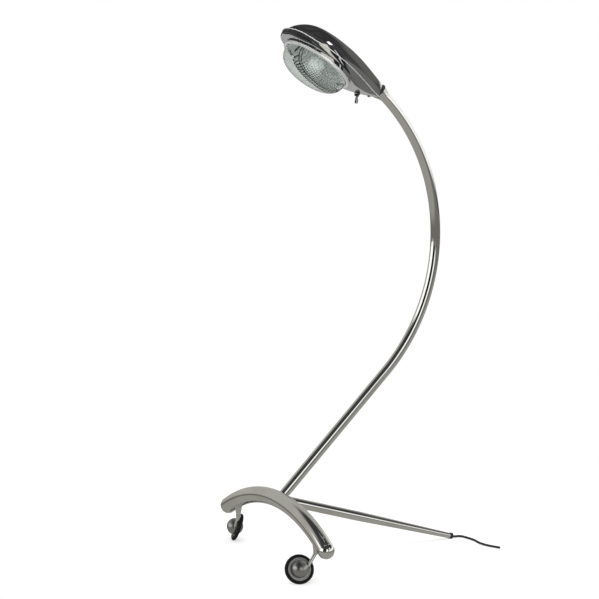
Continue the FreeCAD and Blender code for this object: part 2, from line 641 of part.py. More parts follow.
seat = in_head(Part.makeCylinder(SEAT_R, 12, V(0, 0, 0), V(0, 0, 1)))
housing = housing_out.fuse(seat.common(slab(-90, -SEAM_HALF_T)))
housing = housing.cut(housing_in)
housing = housing.cut(in_head(Part.makeCylinder(BORE_R, 13, V(0, 0, -1), V(0, 0, 1))))
housing = housing.cut(slab(-SEAM_HALF_T, 100)).cut(behind_neck).cut(flange_seat)

# toggle hole, square to the underside
slope_step = 4.0
drop_a = housing_drop(TOGGLE_AT - slope_step)
drop_b = housing_drop(TOGGLE_AT + slope_step)
under_deg = math.degrees(math.atan2(drop_b - drop_a, 2 * slope_step))
toggle_point = V(TOGGLE_AT, 0, -housing_drop(TOGGLE_AT))
toggle_frame = FreeCAD.Placement(toggle_point, FreeCAD.Rotation(V(0, 1, 0), 180 + under_deg))


def in_toggle(shape):
    """From the toggle frame (+Z out of the underside) to the head frame."""
    moved = shape.copy()
    moved.Placement = toggle_frame.multiply(moved.Placement)
    return moved


housing = housing.cut(in_toggle(Part.makeCylinder(BUSH_R + FIT_GAP, 12, V(0, 0, -6), V(0, 0, 1))))

# neck screw, square to the underside
screw_drop_a = housing_drop(NECK_SCREW_AT - slope_step)
screw_drop_b = housing_drop(NECK_SCREW_AT + slope_step)
screw_deg = math.degrees(math.atan2(screw_drop_b - screw_drop_a, 2 * slope_step))
neck_screw_frame = FreeCAD.Placement(V(NECK_SCREW_AT, 0, -housing_drop(NECK_SCREW_AT)),
                                     FreeCAD.Rotation(V(0, 1, 0), 180 + screw_deg))


def in_screw(shape):
    moved = shape.copy()
    moved.Placement = neck_screw_frame.multiply(moved.Placement)
    return moved


housing = housing.cut(in_screw(Part.makeCylinder(SCREW_SHANK_R + FIT_GAP, 12, V(0, 0, -6), V(0, 0, 1))))

head = {}
head["top_cover"] = solid_of(cover)
head["lower_housing"] = solid_of(housing)
trim = seam_plate(SEAM_LIP, -SEAM_HALF_T + EPS, SEAM_HALF_T - EPS, 8.0)
trim = trim.cut(seam_plate(-SEAM_WEB, -5, 5, 30.0)).cut(behind_neck).cut(flange_seat)
head["seam_trim"] = solid_of(trim)

# ---------------------------------------------------------------- lamp unit, in the lens frame
gasket = tube(V(0, 0, -GASKET_T), V(0, 0, 1), LENS_R + 1.6, BORE_R - 1.0, GASKET_T - EPS)
head["lens_gasket"] = in_head(gasket)


def dome(radius, depth, steps=14):
    """Outline of the glass from its centre to its rim: (radius, z) with z below the flange."""
    points = []
    for i in range(steps + 1):
        a = math.pi / 2 * i / steps
        out = math.sin(a) ** (2 / LENS_POWER)
        down = max(0.0, math.cos(a)) ** (2 / LENS_POWER)
        points.append((radius * out, -depth * down))
    return points


flange_top = -GASKET_T - EPS
flange_low = flange_top - LENS_FLANGE_T
outer_dome = turned_smooth([(r, flange_low + z) for r, z in dome(DOME_R, LENS_DEPTH)],
                           [(LENS_R, flange_low), (LENS_R, flange_top), (0, flange_top)])
inner_r = DOME_R - LENS_GLASS_T
inner_dome = turned_smooth([(r, flange_low + z) for r, z in dome(inner_r, LENS_DEPTH - LENS_GLASS_T)],
                           [(inner_r, 1.0), (0, 1.0)])
head["lens_glass"] = in_head(solid_of(outer_dome.cut(inner_dome)))

ring = turned([(LENS_R + 2.0, -EPS), (RING_R - 0.6, -EPS), (RING_R, -1.2), (RING_R, -RING_H + 1.6),
               (RING_R - 1.6, -RING_H), (RING_LIP_R + 0.6, -RING_H), (RING_LIP_R, -RING_H + 0.6),
               (RING_LIP_R, flange_low - EPS), (LENS_R + 0.4, flange_low - EPS), (LENS_R + 0.4, flange_top),
               (LENS_R + 2.0, flange_top)])
head["lens_trim_ring"] = in_head(ring)


def bowl(radius, depth, hole, thick, steps=10):
    """Reflector bowl open downwards, with a hole at its top and a flat rim."""
    inner = []
    for i in range(steps + 1):
        r = radius - (radius - hole) * i / steps
        inner.append((r, depth * (1 - (r / radius) ** 2)))
    outer = [(r + thick * 0.75, z + thick) for r, z in reversed(inner)]
    return inner, outer


inner_line, outer_line = bowl(REFLECTOR_R, REFLECTOR_DEPTH, REFLECTOR_HOLE_R, REFLECTOR_T)
reflector = turned([(BORE_R - 1.0, 0.0), (REFLECTOR_R, 0.0)] + inner_line[1:] + outer_line[:-1]
                   + [(REFLECTOR_R + 1.2, REFLECTOR_T), (BORE_R - 1.0, REFLECTOR_T)])
reflector.translate(V(0, 0, EPS))
head["reflector"] = in_head(solid_of(reflector))

apex_z = REFLECTOR_DEPTH * (1 - (REFLECTOR_HOLE_R / REFLECTOR_R) ** 2)
holder_low = apex_z - HOLDER_BELOW
holder_top = apex_z + HOLDER_ABOVE
socket_roof = holder_low + 26
rim_r = HOLDER_R + HOLDER_RIM
holder = turned([(HOLDER_BORE_R, holder_low), (HOLDER_R, holder_low), (HOLDER_R, apex_z + 5),
                 (rim_r, apex_z + 5), (rim_r, apex_z + 8), (HOLDER_R, apex_z + 8),
                 (HOLDER_R, holder_top - 4), (HOLDER_R - 4, holder_top), (0, holder_top),
                 (0, socket_roof), (HOLDER_BORE_R, socket_roof)])
head["lamp_holder"] = in_head(solid_of(holder))
shade_ring = tube(V(0, 0, apex_z + 1.4), V(0, 0, 1), HOLDER_R + 5.0, HOLDER_R + FIT_GAP, 3.4)
head["holder_ring"] = in_head(shade_ring)

cap_low = holder_low - 2.0
cap_top = holder_low + 22.0
bulb_neck_r = BULB_CAP_R - 0.6
bulb_centre_z = cap_low - BULB_R - 4.0
bulb_points = [(0.01, bulb_centre_z - BULB_R)]
for deg in (-60, -30, 0, 30, 50):
    a = math.radians(deg)
    bulb_points.append((BULB_R * math.cos(a), bulb_centre_z + BULB_R * math.sin(a)))
bulb_points.append((bulb_neck_r, cap_low))
bulb = turned_smooth(bulb_points, [(bulb_neck_r, cap_low + 1), (0.01, cap_low + 1)])
head["bulb"] = in_head(solid_of(bulb))
cap_profile = [(0, cap_low + 1 + EPS), (BULB_CAP_R, cap_low + 1 + EPS)]
for i in range(THREAD_TURNS):
    z = cap_low + 3 + i * THREAD_PITCH
    cap_profile += [(BULB_CAP_R, z), (BULB_CAP_R - 0.8, z + THREAD_PITCH / 2)]
cap_profile += [(BULB_CAP_R - 2.5, cap_top - 2), (3.0, cap_top - 0.5), (0, cap_top - 0.5)]
head["bulb_cap"] = in_head(solid_of(turned(cap_profile)))

# ---------------------------------------------------------------- switch
body_top = -SHELL_T - 1.0
toggle_body = Part.makeBox(BODY_X, BODY_Y, BODY_Z, V(-BODY_X / 2, -BODY_Y / 2, body_top - BODY_Z))
bush = Part.makeCylinder(BUSH_R, BUSH_OUT - body_top, V(0, 0, body_top - EPS), V(0, 0, 1))
bush = bush.cut(Part.makeCone(2.0, BUSH_R - 0.9, BUSH_OUT - PIVOT_Z, V(0, 0, PIVOT_Z + 0.2), V(0, 0, 1)))
toggle_body = toggle_body.fuse(bush)
toggle_body = toggle_body.cut(Part.makeSphere(LEVER_BALL_R + 0.2, V(0, 0, PIVOT_Z)))
pin_hole_half = PIVOT_PIN_LENGTH / 2 + 0.1
toggle_body = toggle_body.cut(Part.makeCylinder(PIVOT_PIN_R + RUN_GAP, 2 * pin_hole_half,
                                                V(0, -pin_hole_half, PIVOT_Z), V(0, 1, 0)))
head["toggle_body"] = in_toggle(solid_of(toggle_body))

nut_corner = NUT_ACROSS / math.sqrt(3)
nut = Part.makePolygon([V(nut_corner * math.cos(math.radians(60 * i)), nut_corner * math.sin(math.radians(60 * i)),
                          1.0) for i in range(7)])
nut = Part.Face(nut).extrude(V(0, 0, NUT_H))
nut = nut.common(Part.makeCone(NUT_ACROSS * 0.72, NUT_ACROSS * 0.48, 5.2, V(0, 0, 0.2), V(0, 0, 1)))
nut = nut.cut(Part.makeCylinder(BUSH_R + FIT_GAP, 20, V(0, 0, -5), V(0, 0, 1)))
head["toggle_nut"] = in_toggle(solid_of(nut))

shank = LEVER_LENGTH - LEVER_TIP_R
lever = Part.makeCone(LEVER_ROOT_R, LEVER_TIP_R, shank, V(0, 0, PIVOT_Z), V(0, 0, 1))
lever = lever.fuse(Part.makeSphere(LEVER_TIP_R, V(0, 0, PIVOT_Z + shank)))
lever = lever.fuse(Part.makeSphere(LEVER_BALL_R, V(0, 0, PIVOT_Z)))
lever = lever.fuse(Part.makeCylinder(PIVOT_PIN_R, PIVOT_PIN_LENGTH, V(0, -PIVOT_PIN_LENGTH / 2, PIVOT_Z),
                                     V(0, 1, 0)))
lever.rotate(V(0, 0, PIVOT_Z), V(0, 1, 0), TOGGLE_TURN_DEG)
head["toggle_lever"] = in_toggle(solid_of(lever))

# ---------------------------------------------------------------- neck screw
screw_head = Part.makeSphere(SCREW_DOME_R, V(0, 0, -2.2))
screw_head = screw_head.cut(Part.makeBox(20, 20, 20, V(-10, -10, -20 + 0.2)))
screw_head = screw_head.cut(Part.makeBox(1.0, 12, 3, V(-0.5, -6, 1.9)))
screw_shank = Part.makeCylinder(SCREW_SHANK_R, SCREW_LENGTH + 0.5, V(0, 0, -SCREW_LENGTH), V(0, 0, 1))
screw = screw_head.fuse(screw_shank)
head["neck_screw"] = in_screw(solid_of(screw))

# ---------------------------------------------------------------- neck flange, in the neck frame
flange = Part.makeCylinder(FLANGE_R, FLANGE_T, V(0, 0, 0), V(1, 0, 0))
sleeve = Part.makeCylinder(arm_bore_r - SLEEVE_GAP, SLEEVE_LENGTH, V(-SLEEVE_LENGTH, 0, 0), V(1, 0, 0))
flange = flange.fuse(sleeve).cut(Part.makeCylinder(SLEEVE_BORE_R, 80, V(-40, 0, 0), V(1, 0, 0)))
tongue = Part.makeBox(22, 10, 3, V(FLANGE_T - 0.5, -5, -13.4))
flange = flange.fuse(tongue)
flange_shape = from_neck(flange).cut(in_screw(Part.makeCylinder(SCREW_SHANK_R + FIT_GAP, 40, V(0, 0, -30),
                                                                V(0, 0, 1))))
flange_shape = flange_shape.cut(head["lower_housing"])
head["neck_flange"] = solid_of(flange_shape)

# ---------------------------------------------------------------- terminal block and leads
block = Part.makeBox(BLOCK_SIZE.x, BLOCK_SIZE.y, BLOCK_SIZE.z, BLOCK_AT - BLOCK_SIZE * 0.5)
screws = []
for spot in [V(sx, sy, 0) for sx in (-TERMINAL_X, TERMINAL_X) for sy in (-TERMINAL_Y, TERMINAL_Y)]:
    block = block.cut(Part.makeCylinder(TERMINAL_R + 0.2, 6, BLOCK_AT + spot + V(0, 0, 1), V(0, 0, 1)))
    screws.append(Part.makeCylinder(TERMINAL_R, 3.2, BLOCK_AT + spot + V(0, 0, 1 + EPS), V(0, 0, 1)).cut(
        Part.makeBox(0.8, 4, 1, BLOCK_AT + spot + V(-0.4, -2, 3.4))))
head["terminal_block"] = solid_of(block)
head["terminal_screws"] = Part.makeCompound(screws)


def lead(points, radius):
    curve = Part.BSplineCurve()
    curve.interpolate(points)
    way = curve.toShape()
    start = way.tangentAt(way.FirstParameter)
    disc = Part.Wire(Part.makeCircle(radius, points[0], start))
    return Part.Wire(way).makePipeShell([disc], True, True)


lead_back = BLOCK_SIZE.x / 2 + 1.2
holder_head = lens_in_head.multVec(V(-6, 0, holder_top + 1.3))
lamp_leads = []
switch_leads = []
for sign in (-1.0, 1.0):
    block_front = BLOCK_AT + V(lead_back, sign * TERMINAL_Y, 0)
    holder_side = holder_head + V(0, sign * 4, 0)
    lamp_leads.append(lead([block_front, block_front + V(10, sign * 3, 8), V(140, sign * 12, 34),
                            holder_side + V(-20, sign * 4, 1.5), holder_side + V(-5, sign * 1, 3),
                            holder_side], LEAD_R))
    block_back = BLOCK_AT + V(-lead_back, sign * TERMINAL_Y, 0)
    toggle_tail = toggle_frame.multVec(V(-sign * 6, 0, body_top - BODY_Z - 1.2))
    switch_leads.append(lead([block_back, block_back + V(-6, sign * 2, 4), toggle_tail + V(4, sign * 4, 9),
                              toggle_tail], LEAD_R))
head["lamp_leads"] = Part.makeCompound(lamp_leads)
head["switch_leads"] = Part.makeCompound(switch_leads)

seam_origin = neck - V(math.sin(math.radians(HEAD_DEG)), 0, math.cos(math.radians(HEAD_DEG))) * SEAM_BELOW
for name, shape in head.items():
    nodes[name] = place(shape, seam_origin, HEAD_DEG)

# ---------------------------------------------------------------- collar on the end of the arm
collar_profile = [(ARM_R - 2.0, -COLLAR_LENGTH), (ARM_R + 1.7, -COLLAR_LENGTH),
                  (ARM_R + 2.4, -COLLAR_LENGTH + 1.2),
                  (ARM_R + 2.4, -15.5), (ARM_R + 1.6, -15.0), (ARM_R + 1.6, -14.0), (ARM_R + 4.2, -13.0),
                  (ARM_R + 4.6, -11.8), (ARM_R + 4.6, -9.6), (ARM_R + 3.6, -9.0), (ARM_R + 3.6, -8.2),
                  (ARM_R + 6.4, -7.2), (ARM_R + 6.8, -6.0), (ARM_R + 6.8, -SEAL_T - EPS),
                  (ARM_R - 2.0, -SEAL_T - EPS)]
to_neck_axis = FreeCAD.Rotation(V(0, 0, 1), V(1, 0, 0))
collar = turned(collar_profile)
collar.Placement = FreeCAD.Placement(V(0, 0, 0), to_neck_axis)
seal = turned([(ARM_R + FIT_GAP, -SEAL_T), (ARM_R + 7.4, -SEAL_T), (ARM_R + 7.9, -SEAL_T / 2),
               (ARM_R + 7.4, -EPS), (ARM_R + FIT_GAP, -EPS)])
seal.Placement = FreeCAD.Placement(V(0, 0, 0), to_neck_axis)
arm_skin = bent_rod(arm_root, ARM_LEAN_DEG, arm_moves + [("line", 5.0)], ARM_R + FIT_GAP)[0]
nodes["neck_collar"] = solid_of(place(collar, neck, neck_tilt).cut(arm_skin))
nodes["neck_seal"] = place(seal, neck, neck_tilt)

os.makedirs("parts", exist_ok=True)
for name, shape in nodes.items():
    shape.exportStep("parts/" + name + ".step")
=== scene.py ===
"""Looks of the wheeled examination lamp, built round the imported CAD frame.

Lengths on the lamp are millimetres until a mesh is made. The studio, lights and camera are in metres.
"""
import json
import math

import bmesh
import bpy
from mathutils import Matrix, Vector


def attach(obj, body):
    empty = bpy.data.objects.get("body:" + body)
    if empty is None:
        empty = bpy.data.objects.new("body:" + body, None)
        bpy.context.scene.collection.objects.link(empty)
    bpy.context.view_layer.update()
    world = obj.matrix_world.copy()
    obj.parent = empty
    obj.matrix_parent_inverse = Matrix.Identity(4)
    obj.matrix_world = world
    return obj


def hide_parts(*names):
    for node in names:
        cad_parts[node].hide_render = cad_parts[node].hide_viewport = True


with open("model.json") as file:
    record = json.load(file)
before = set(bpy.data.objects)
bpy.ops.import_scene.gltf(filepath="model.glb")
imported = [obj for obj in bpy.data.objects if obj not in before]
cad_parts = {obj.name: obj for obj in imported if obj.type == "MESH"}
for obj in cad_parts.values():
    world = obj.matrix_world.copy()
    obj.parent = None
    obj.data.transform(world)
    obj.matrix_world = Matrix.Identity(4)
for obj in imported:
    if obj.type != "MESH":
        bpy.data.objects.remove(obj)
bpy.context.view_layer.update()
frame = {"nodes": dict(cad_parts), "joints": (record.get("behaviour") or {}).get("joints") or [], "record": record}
scene = bpy.context.scene
nodes = frame["nodes"]
joints = {j["name"]: j for j in frame["joints"]}
slot_of_node = {p["node"]: p["material_slot"] for p in frame["record"]["subparts"]}
MM = 0.001

# ---------------------------------------------------------------- layout, the same as the CAD source's
CREST = Vector((-528.0, 0.0, 168.0))
ARCH_BEND_R, ARCH_HALF_DEG, ARCH_LEAN_DEG, ARCH_R, ARCH_WALL = 533.0, 30.6, 3.4, 21.2, 2.0
LEG_R, LEG_WALL, LEG_STRAIGHT, LEG_TIP_R, LEG_TIP_Z, LEG_TIP_X = 12.7, 1.6, 250.0, 7.35, 7.9, -4.0
ARM_R, ARM_WALL, ARM_LEAN_DEG, ARM_ROOT_DROP = 12.8, 1.6, 44.5, 10.7
ARM_STRAIGHT, ARM_BEND_R, ARM_BEND_DEG = 453.0, 497.0, 95.1
HEAD_DEG, SEAM_BELOW = 33.8, 17.7
HEAD_LENGTH, HEAD_WIDEST, HEAD_HALF, NECK_HALF = 318.2, 215.0, 100.4, 22.3
TAPER_POWER, COVER_RISE, COVER_NECK_RISE, COVER_PEAK, COVER_SWELL = 1.4, 56.2, 33.0, 163.5, 0.76
COVER_POWER, COVER_INSET, BRIM_RISE, BRIM_DEPTH = 2.1, 3.0, 5.0, 10.0
HOUSING_NECK_DROP, SHELL_T, NOSE_START = 2.8, 1.5, 250.0
LENS_DEG, LENS_AT, LENS_DROP, SEAT_R, SEAT_STAND, BORE_R = 38.0, 189.9, 22.1, 97.0, 2.5, 91.5
WHEEL_R, TYRE_CROWN_R, TYRE_SEAT_R, BALL_R, BALL_OFFSET = 37.5, 4.5, 29.0, 22.3, 7.0

# the glass: a moulded ridge along the lamp, with ribs on one side of it and prisms on the other
RIDGE_Y, RIB_PITCH, PRISM_PITCH = 40.0, 8.0, 6.2

neck_point = Vector(joints["head_swivel"]["pos_m"]) / MM
head_turn = Matrix.Rotation(math.radians(HEAD_DEG), 4, "Y") @ Matrix.Rotation(math.pi, 4, "Z")
head_frame = Matrix.Translation(neck_point) @ head_turn @ Matrix.Translation((0, 0, -SEAM_BELOW))
lens_turn = Matrix.Rotation(-math.radians(LENS_DEG - HEAD_DEG), 4, "Y")
lens_frame = head_frame @ Matrix.Translation((LENS_AT, 0, -LENS_DROP)) @ lens_turn


# ---------------------------------------------------------------- node trees
class Tree:
    """Short calls for building one node tree."""

    def __init__(self, tree, fresh=True):
        self.tree = tree
        if fresh:
            tree.nodes.clear()

    def node(self, kind, inputs=None, **settings):
        n = self.tree.nodes.new(kind)
        for key, value in settings.items():
            setattr(n, key, value)
        for key, value in (inputs or {}).items():
            self.feed(n.inputs[key], value)
        return n

    def feed(self, socket, value):
        if isinstance(value, bpy.types.NodeSocket):
            self.tree.links.new(value, socket)
        else:
            socket.default_value = value

    def math(self, operation, a, b=0.0, c=0.0, clamp=False):
        n = self.node("ShaderNodeMath", operation=operation, use_clamp=clamp)
        for socket, value in zip(n.inputs, (a, b, c)):
            self.feed(socket, value)
        return n.outputs[0]

    def ramp_between(self, value, low, high, out_low=0.0, out_high=1.0):
        """Smooth step of value from out_low at low to out_high at high."""
        n = self.node("ShaderNodeMapRange", interpolation_type="SMOOTHSTEP")
        for key, v in zip(("Value", "From Min", "From Max", "To Min", "To Max"),
                          (value, low, high, out_low, out_high)):
            self.feed(n.inputs[key], v)
        return n.outputs[0]

    def mix(self, factor, a, b):
        n = self.node("ShaderNodeMix", data_type="RGBA")
        self.feed(n.inputs[0], factor)
        self.feed(n.inputs[6], a)
        self.feed(n.inputs[7], b)
        return n.outputs[2]

    def noise(self, vector, scale, detail=3.0, stretch=None):
        if stretch:
            vector = self.node("ShaderNodeMapping", {"Vector": vector, "Scale": stretch}).outputs[0]
        inputs = {"Vector": vector, "Scale": scale, "Detail": detail}
        return self.node("ShaderNodeTexNoise", inputs).outputs[0]

    def bump(self, height, strength, distance, below=None):
        n = self.node("ShaderNodeBump", {"Height": height, "Strength": strength, "Distance": distance})
        if below is not None:
            self.feed(n.inputs["Normal"], below)
        return n.outputs[0]


def material(name):
    m = bpy.data.materials.new(name)
    m.use_nodes = True
    t = Tree(m.node_tree)
    out = t.node("ShaderNodeOutputMaterial")
    shader = t.node("ShaderNodeBsdfPrincipled")
    t.feed(out.inputs["Surface"], shader.outputs[0])
    where = t.node("ShaderNodeTexCoord").outputs["Object"]
    return m, t, shader, where


def principled(m):
    """The main shader node of a material."""
    return next(n for n in m.node_tree.nodes if n.type == "BSDF_PRINCIPLED")


def metal(name, colour, smudge_colour, rough, rough_smudge, scratch, scratch_scale=900.0, shine=1.0):
    """Plated or bare metal: smudges change its tint and gloss, and fine scratches break the highlights."""
    m, t, shader, where = material(name)
    smudge = t.ramp_between(t.noise(where, 14.0, 4.0), 0.42, 0.72)
    fine = t.noise(where, scratch_scale, 2.0, stretch=(1.0, 0.12, 0.35))
    t.feed(shader.inputs["Base Color"], t.mix(smudge, (*colour, 1), (*smudge_colour, 1)))
    t.feed(shader.inputs["Metallic"], shine)
    rough_value = t.ramp_between(smudge, 0.0, 1.0, rough, rough_smudge)
    t.feed(shader.inputs["Roughness"], t.math("MULTIPLY_ADD", fine, 0.03, rough_value))
    t.feed(shader.inputs["Normal"], t.bump(fine, scratch, 0.0001))
    return m


def rubber(name, colour, dust, rough, grain_scale):
    m, t, shader, where = material(name)
    grain = t.noise(where, grain_scale, 4.0)
    dusty = t.ramp_between(t.noise(where, 30.0, 4.0), 0.5, 0.8)
    t.feed(shader.inputs["Base Color"], t.mix(dusty, (*colour, 1), (*dust, 1)))
    t.feed(shader.inputs["Roughness"], t.math("MULTIPLY_ADD", grain, 0.2, rough))
    t.feed(shader.inputs["Normal"], t.bump(grain, 0.25, 0.0002))
    return m


def plastic(name, colour, shade, rough, grain_scale=500.0, coat=0.0):
    m, t, shader, where = material(name)
    tone = t.noise(where, 40.0, 3.0)
    grain = t.noise(where, grain_scale, 2.0)
    t.feed(shader.inputs["Base Color"], t.mix(tone, (*colour, 1), (*shade, 1)))
    t.feed(shader.inputs["Roughness"], t.math("MULTIPLY_ADD", grain, 0.12, rough))
    t.feed(shader.inputs["Coat Weight"], coat)
    t.feed(shader.inputs["Normal"], t.bump(grain, 0.12, 0.0001))
    return m


def glass(name, colour, rough, ior, haze_scale):
    """Clear glass that also lets the studio's soft light through to what is behind it."""
    m, t, shader, where = material(name)
    out = next(n for n in m.node_tree.nodes if n.type == "OUTPUT_MATERIAL")
    rays = t.node("ShaderNodeLightPath")
    soft = t.math("MAXIMUM", rays.outputs["Is Shadow Ray"], rays.outputs["Is Diffuse Ray"])
    through = t.node("ShaderNodeBsdfTransparent", {"Color": (*colour, 1)})
    both = t.node("ShaderNodeMixShader", {0: soft, 1: shader.outputs[0], 2: through.outputs[0]})
    t.feed(out.inputs["Surface"], both.outputs[0])
    wave = t.noise(where, haze_scale, 2.0)
    t.feed(shader.inputs["Base Color"], (*colour, 1))
    t.feed(shader.inputs["Transmission Weight"], 1.0)
    t.feed(shader.inputs["IOR"], ior)
    t.feed(shader.inputs["Roughness"], t.math("MULTIPLY_ADD", wave, 0.02, rough))
    t.feed(shader.inputs["Normal"], t.bump(wave, 0.06, 0.0005))
    return m


def paint_lens_shade(m):
    """Paints shade into the glass colour on its inner face, along the walls of the moulded ridge, ribs and prisms:
    painted shade for the dark lines of the pressed pattern.
    """
    t = Tree(m.node_tree, fresh=False)
    shader = principled(m)
    where = t.node("ShaderNodeTexCoord").outputs["Object"]
    centre = tuple(lens_frame.translation * MM)
    from_centre = t.node("ShaderNodeVectorMath", {0: where, 1: centre}, operation="SUBTRACT").outputs[0]
    spots = []
    for axis in (0, 1):
        way = tuple(lens_frame.to_3x3().col[axis] / MM)
        spot = t.node("ShaderNodeVectorMath", {0: from_centre, 1: way}, operation="DOT_PRODUCT")
        spots.append(spot.outputs["Value"])
    x, across = spots[0], t.math("SUBTRACT", spots[1], RIDGE_Y)

    def lines(value, pitch, width):
        wave = t.math("ABSOLUTE", t.math("SINE", t.math("MULTIPLY", value, math.pi / pitch)))
        return t.ramp_between(wave, width - 0.25, width + 0.15, 1.0, 0.0)

    ribs = t.math("MULTIPLY", lines(x, RIB_PITCH, 0.55), t.ramp_between(across, -19.0, -15.0))
    ribs = t.math("MULTIPLY", ribs, t.ramp_between(across, -2.0, 0.0, 1.0, 0.0))
    prisms = t.math("MAXIMUM", lines(x, PRISM_PITCH, 0.5), lines(across, PRISM_PITCH, 0.5))
    deep = t.ramp_between(across, 7.0, 12.0, 1.0, 0.45)
    prisms = t.math("MULTIPLY", t.math("MULTIPLY", prisms, deep), t.ramp_between(across, 1.0, 3.0))
    ridge = t.ramp_between(t.math("ABSOLUTE", across), 0.8, 2.6, 1.0, 0.0)
    # painted shade mask: where the glass colour turns near black
    dark = t.math("MAXIMUM", t.math("MAXIMUM", ribs, prisms), ridge)
    dark = t.math("MULTIPLY", dark, t.node("ShaderNodeNewGeometry").outputs["Backfacing"])
    clear = tuple(shader.inputs["Base Color"].default_value)
    # painted shade: the glass colour goes near black over the pattern's walls
    t.feed(shader.inputs["Base Color"], t.mix(dark, clear, (0.012, 0.018, 0.016, 1)))


def reflector_mirror():
    """Aluminised bowl: mostly mirror, with the milky haze of an old coating."""
    m, t, shader, where = material("reflector_mirror")
    haze = t.noise(where, 60.0, 4.0)
    t.feed(shader.inputs["Base Color"], t.mix(haze, (0.90, 0.91, 0.91, 1), (0.78, 0.80, 0.80, 1)))
    t.feed(shader.inputs["Metallic"], 0.62)
    t.feed(shader.inputs["Roughness"], t.math("MULTIPLY_ADD", haze, 0.15, 0.15))
    return m


finish = {
    "chrome_tube": metal("chrome_tube", (0.86, 0.86, 0.85), (0.80, 0.79, 0.77), 0.035, 0.07, 0.05),
    "chrome_turned": metal("chrome_turned", (0.88, 0.88, 0.88), (0.80, 0.80, 0.79), 0.03, 0.07, 0.05),
    "chrome_shell": metal("chrome_shell", (0.84, 0.85, 0.86), (0.76, 0.76, 0.76), 0.03, 0.06, 0.04, 600.0),
    "chrome_trim": metal("chrome_trim", (0.90, 0.90, 0.90), (0.82, 0.82, 0.82), 0.10, 0.16, 0.05, shine=0.6),
    "plain_steel": metal("plain_steel", (0.56, 0.56, 0.56), (0.42, 0.41, 0.40), 0.28, 0.40, 0.4),
    "caster_metal": metal("caster_metal", (0.45, 0.45, 0.45), (0.38, 0.38, 0.38), 0.33, 0.40, 0.2),
    "brass": metal("brass", (0.80, 0.62, 0.30), (0.55, 0.40, 0.20), 0.18, 0.35, 0.2),
    "wheel_rubber": rubber("wheel_rubber", (0.003, 0.003, 0.003), (0.008, 0.008, 0.008), 0.62, 700.0),
    "black_rubber": rubber("black_rubber", (0.010, 0.010, 0.010), (0.03, 0.03, 0.03), 0.5, 500.0),
    "cord_rubber": rubber("cord_rubber", (0.010, 0.010, 0.010), (0.02, 0.02, 0.02), 0.35, 900.0),
    "nylon": plastic("nylon", (0.30, 0.29, 0.26), (0.24, 0.23, 0.20), 0.40),
    "black_plastic": plastic("black_plastic", (0.015, 0.015, 0.015), (0.03, 0.03, 0.03), 0.35),
    "white_ceramic": plastic("white_ceramic", (0.82, 0.80, 0.74), (0.74, 0.71, 0.64), 0.12, 200.0, 0.6),
    "lead_insulation": plastic("lead_insulation", (0.55, 0.55, 0.57), (0.45, 0.45, 0.48), 0.4),
    "lens_glass": glass("lens_glass", (0.955, 0.98, 0.962), 0.0, 1.50, 45.0),
    "bulb_glass": plastic("bulb_glass", (0.66, 0.68, 0.67), (0.60, 0.62, 0.61), 0.30, 200.0),
    "reflector_mirror": reflector_mirror(),
}
# painted shade on the inner face of the lens glass
paint_lens_shade(finish["lens_glass"])


# ---------------------------------------------------------------- mesh helpers
def piece(name, points, faces, body, slot, stands_for=(), place=None, sharp_deg=35.0):
    """A smooth-shaded mesh from millimetre points that rides on a body and may stand for CAD nodes."""
    mesh = bpy.data.meshes.new(name)
    place = place or Matrix.Identity(4)
    mesh.from_pydata([(place @ Vector(p)) * MM for p in points], [], faces)
    bm = bmesh.new()
    bm.from_mesh(mesh)
    bmesh.ops.remove_doubles(bm, verts=bm.verts, dist=1e-6)
    bmesh.ops.dissolve_degenerate(bm, edges=bm.edges, dist=1e-7)
    bmesh.ops.recalc_face_normals(bm, faces=bm.faces)
    bm.to_mesh(mesh)
    bm.free()
    mesh.polygons.foreach_set("use_smooth", [True] * len(mesh.polygons))
    mesh.set_sharp_from_angle(angle=math.radians(sharp_deg))
    obj = bpy.data.objects.new(name, mesh)
    scene.collection.objects.link(obj)
    mesh.materials.append(finish[slot])
    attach(obj, body)
    if stands_for:
        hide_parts(*stands_for)
    return obj


def grid(rows, wrap_rows=False, wrap_columns=False):
    """Points and quads of a grid of equal rows."""
    points = [p for row in rows for p in row]
    n, k = len(rows), len(rows[0])
    faces = []
    for i in range(n if wrap_rows else n - 1):
        for j in range(k if wrap_columns else k - 1):
            a, b = i * k + j, i * k + (j + 1) % k
            c, d = ((i + 1) % n) * k + (j + 1) % k, ((i + 1) % n) * k + j
            faces.append((a, b, c, d))
    return points, faces


def circle(count):
    return [(math.cos(2 * math.pi * i / count), math.sin(2 * math.pi * i / count)) for i in range(count)]


def lathe_rows(profile, count=96):
    return [[(r * c, r * s, z) for c, s in circle(count)] for r, z in profile]


def lathe(name, profile, place, body, slot, stands_for=(), count=96, sharp_deg=35.0):
    """Solid of revolution about the local Z of a closed (radius, z) profile."""
    points, faces = grid(lathe_rows(profile, count), wrap_rows=True, wrap_columns=True)
    return piece(name, points, faces, body, slot, stands_for, place, sharp_deg)


def rounded(profile, radius, steps=5, closed=True):
    """The same profile with each corner replaced by a short curve that starts radius away from it."""
    out = []
    n = len(profile)
    for i, corner in enumerate(profile):
        if not closed and i in (0, n - 1):
            out.append(corner)
            continue
        p, a, b = Vector(corner), Vector(profile[i - 1]), Vector(profile[(i + 1) % n])
        reach = min(radius, (a - p).length * 0.45, (b - p).length * 0.45)
        if corner[0] < 1e-6 or reach < 1e-4:
            out.append(corner)
            continue
        start, end = p + (a - p).normalized() * reach, p + (b - p).normalized() * reach
        for k in range(steps + 1):
            t = k / steps
            q = start * (1 - t) ** 2 + p * 2 * t * (1 - t) + end * t * t
            out.append((q.x, q.y))
    return out


def arc_points(radius, start_deg, end_deg, steps, centre=(0.0, 0.0)):
    return [(centre[0] + radius * math.cos(math.radians(start_deg + (end_deg - start_deg) * i / steps)),
             centre[1] + radius * math.sin(math.radians(start_deg + (end_deg - start_deg) * i / steps)))
            for i in range(steps + 1)]


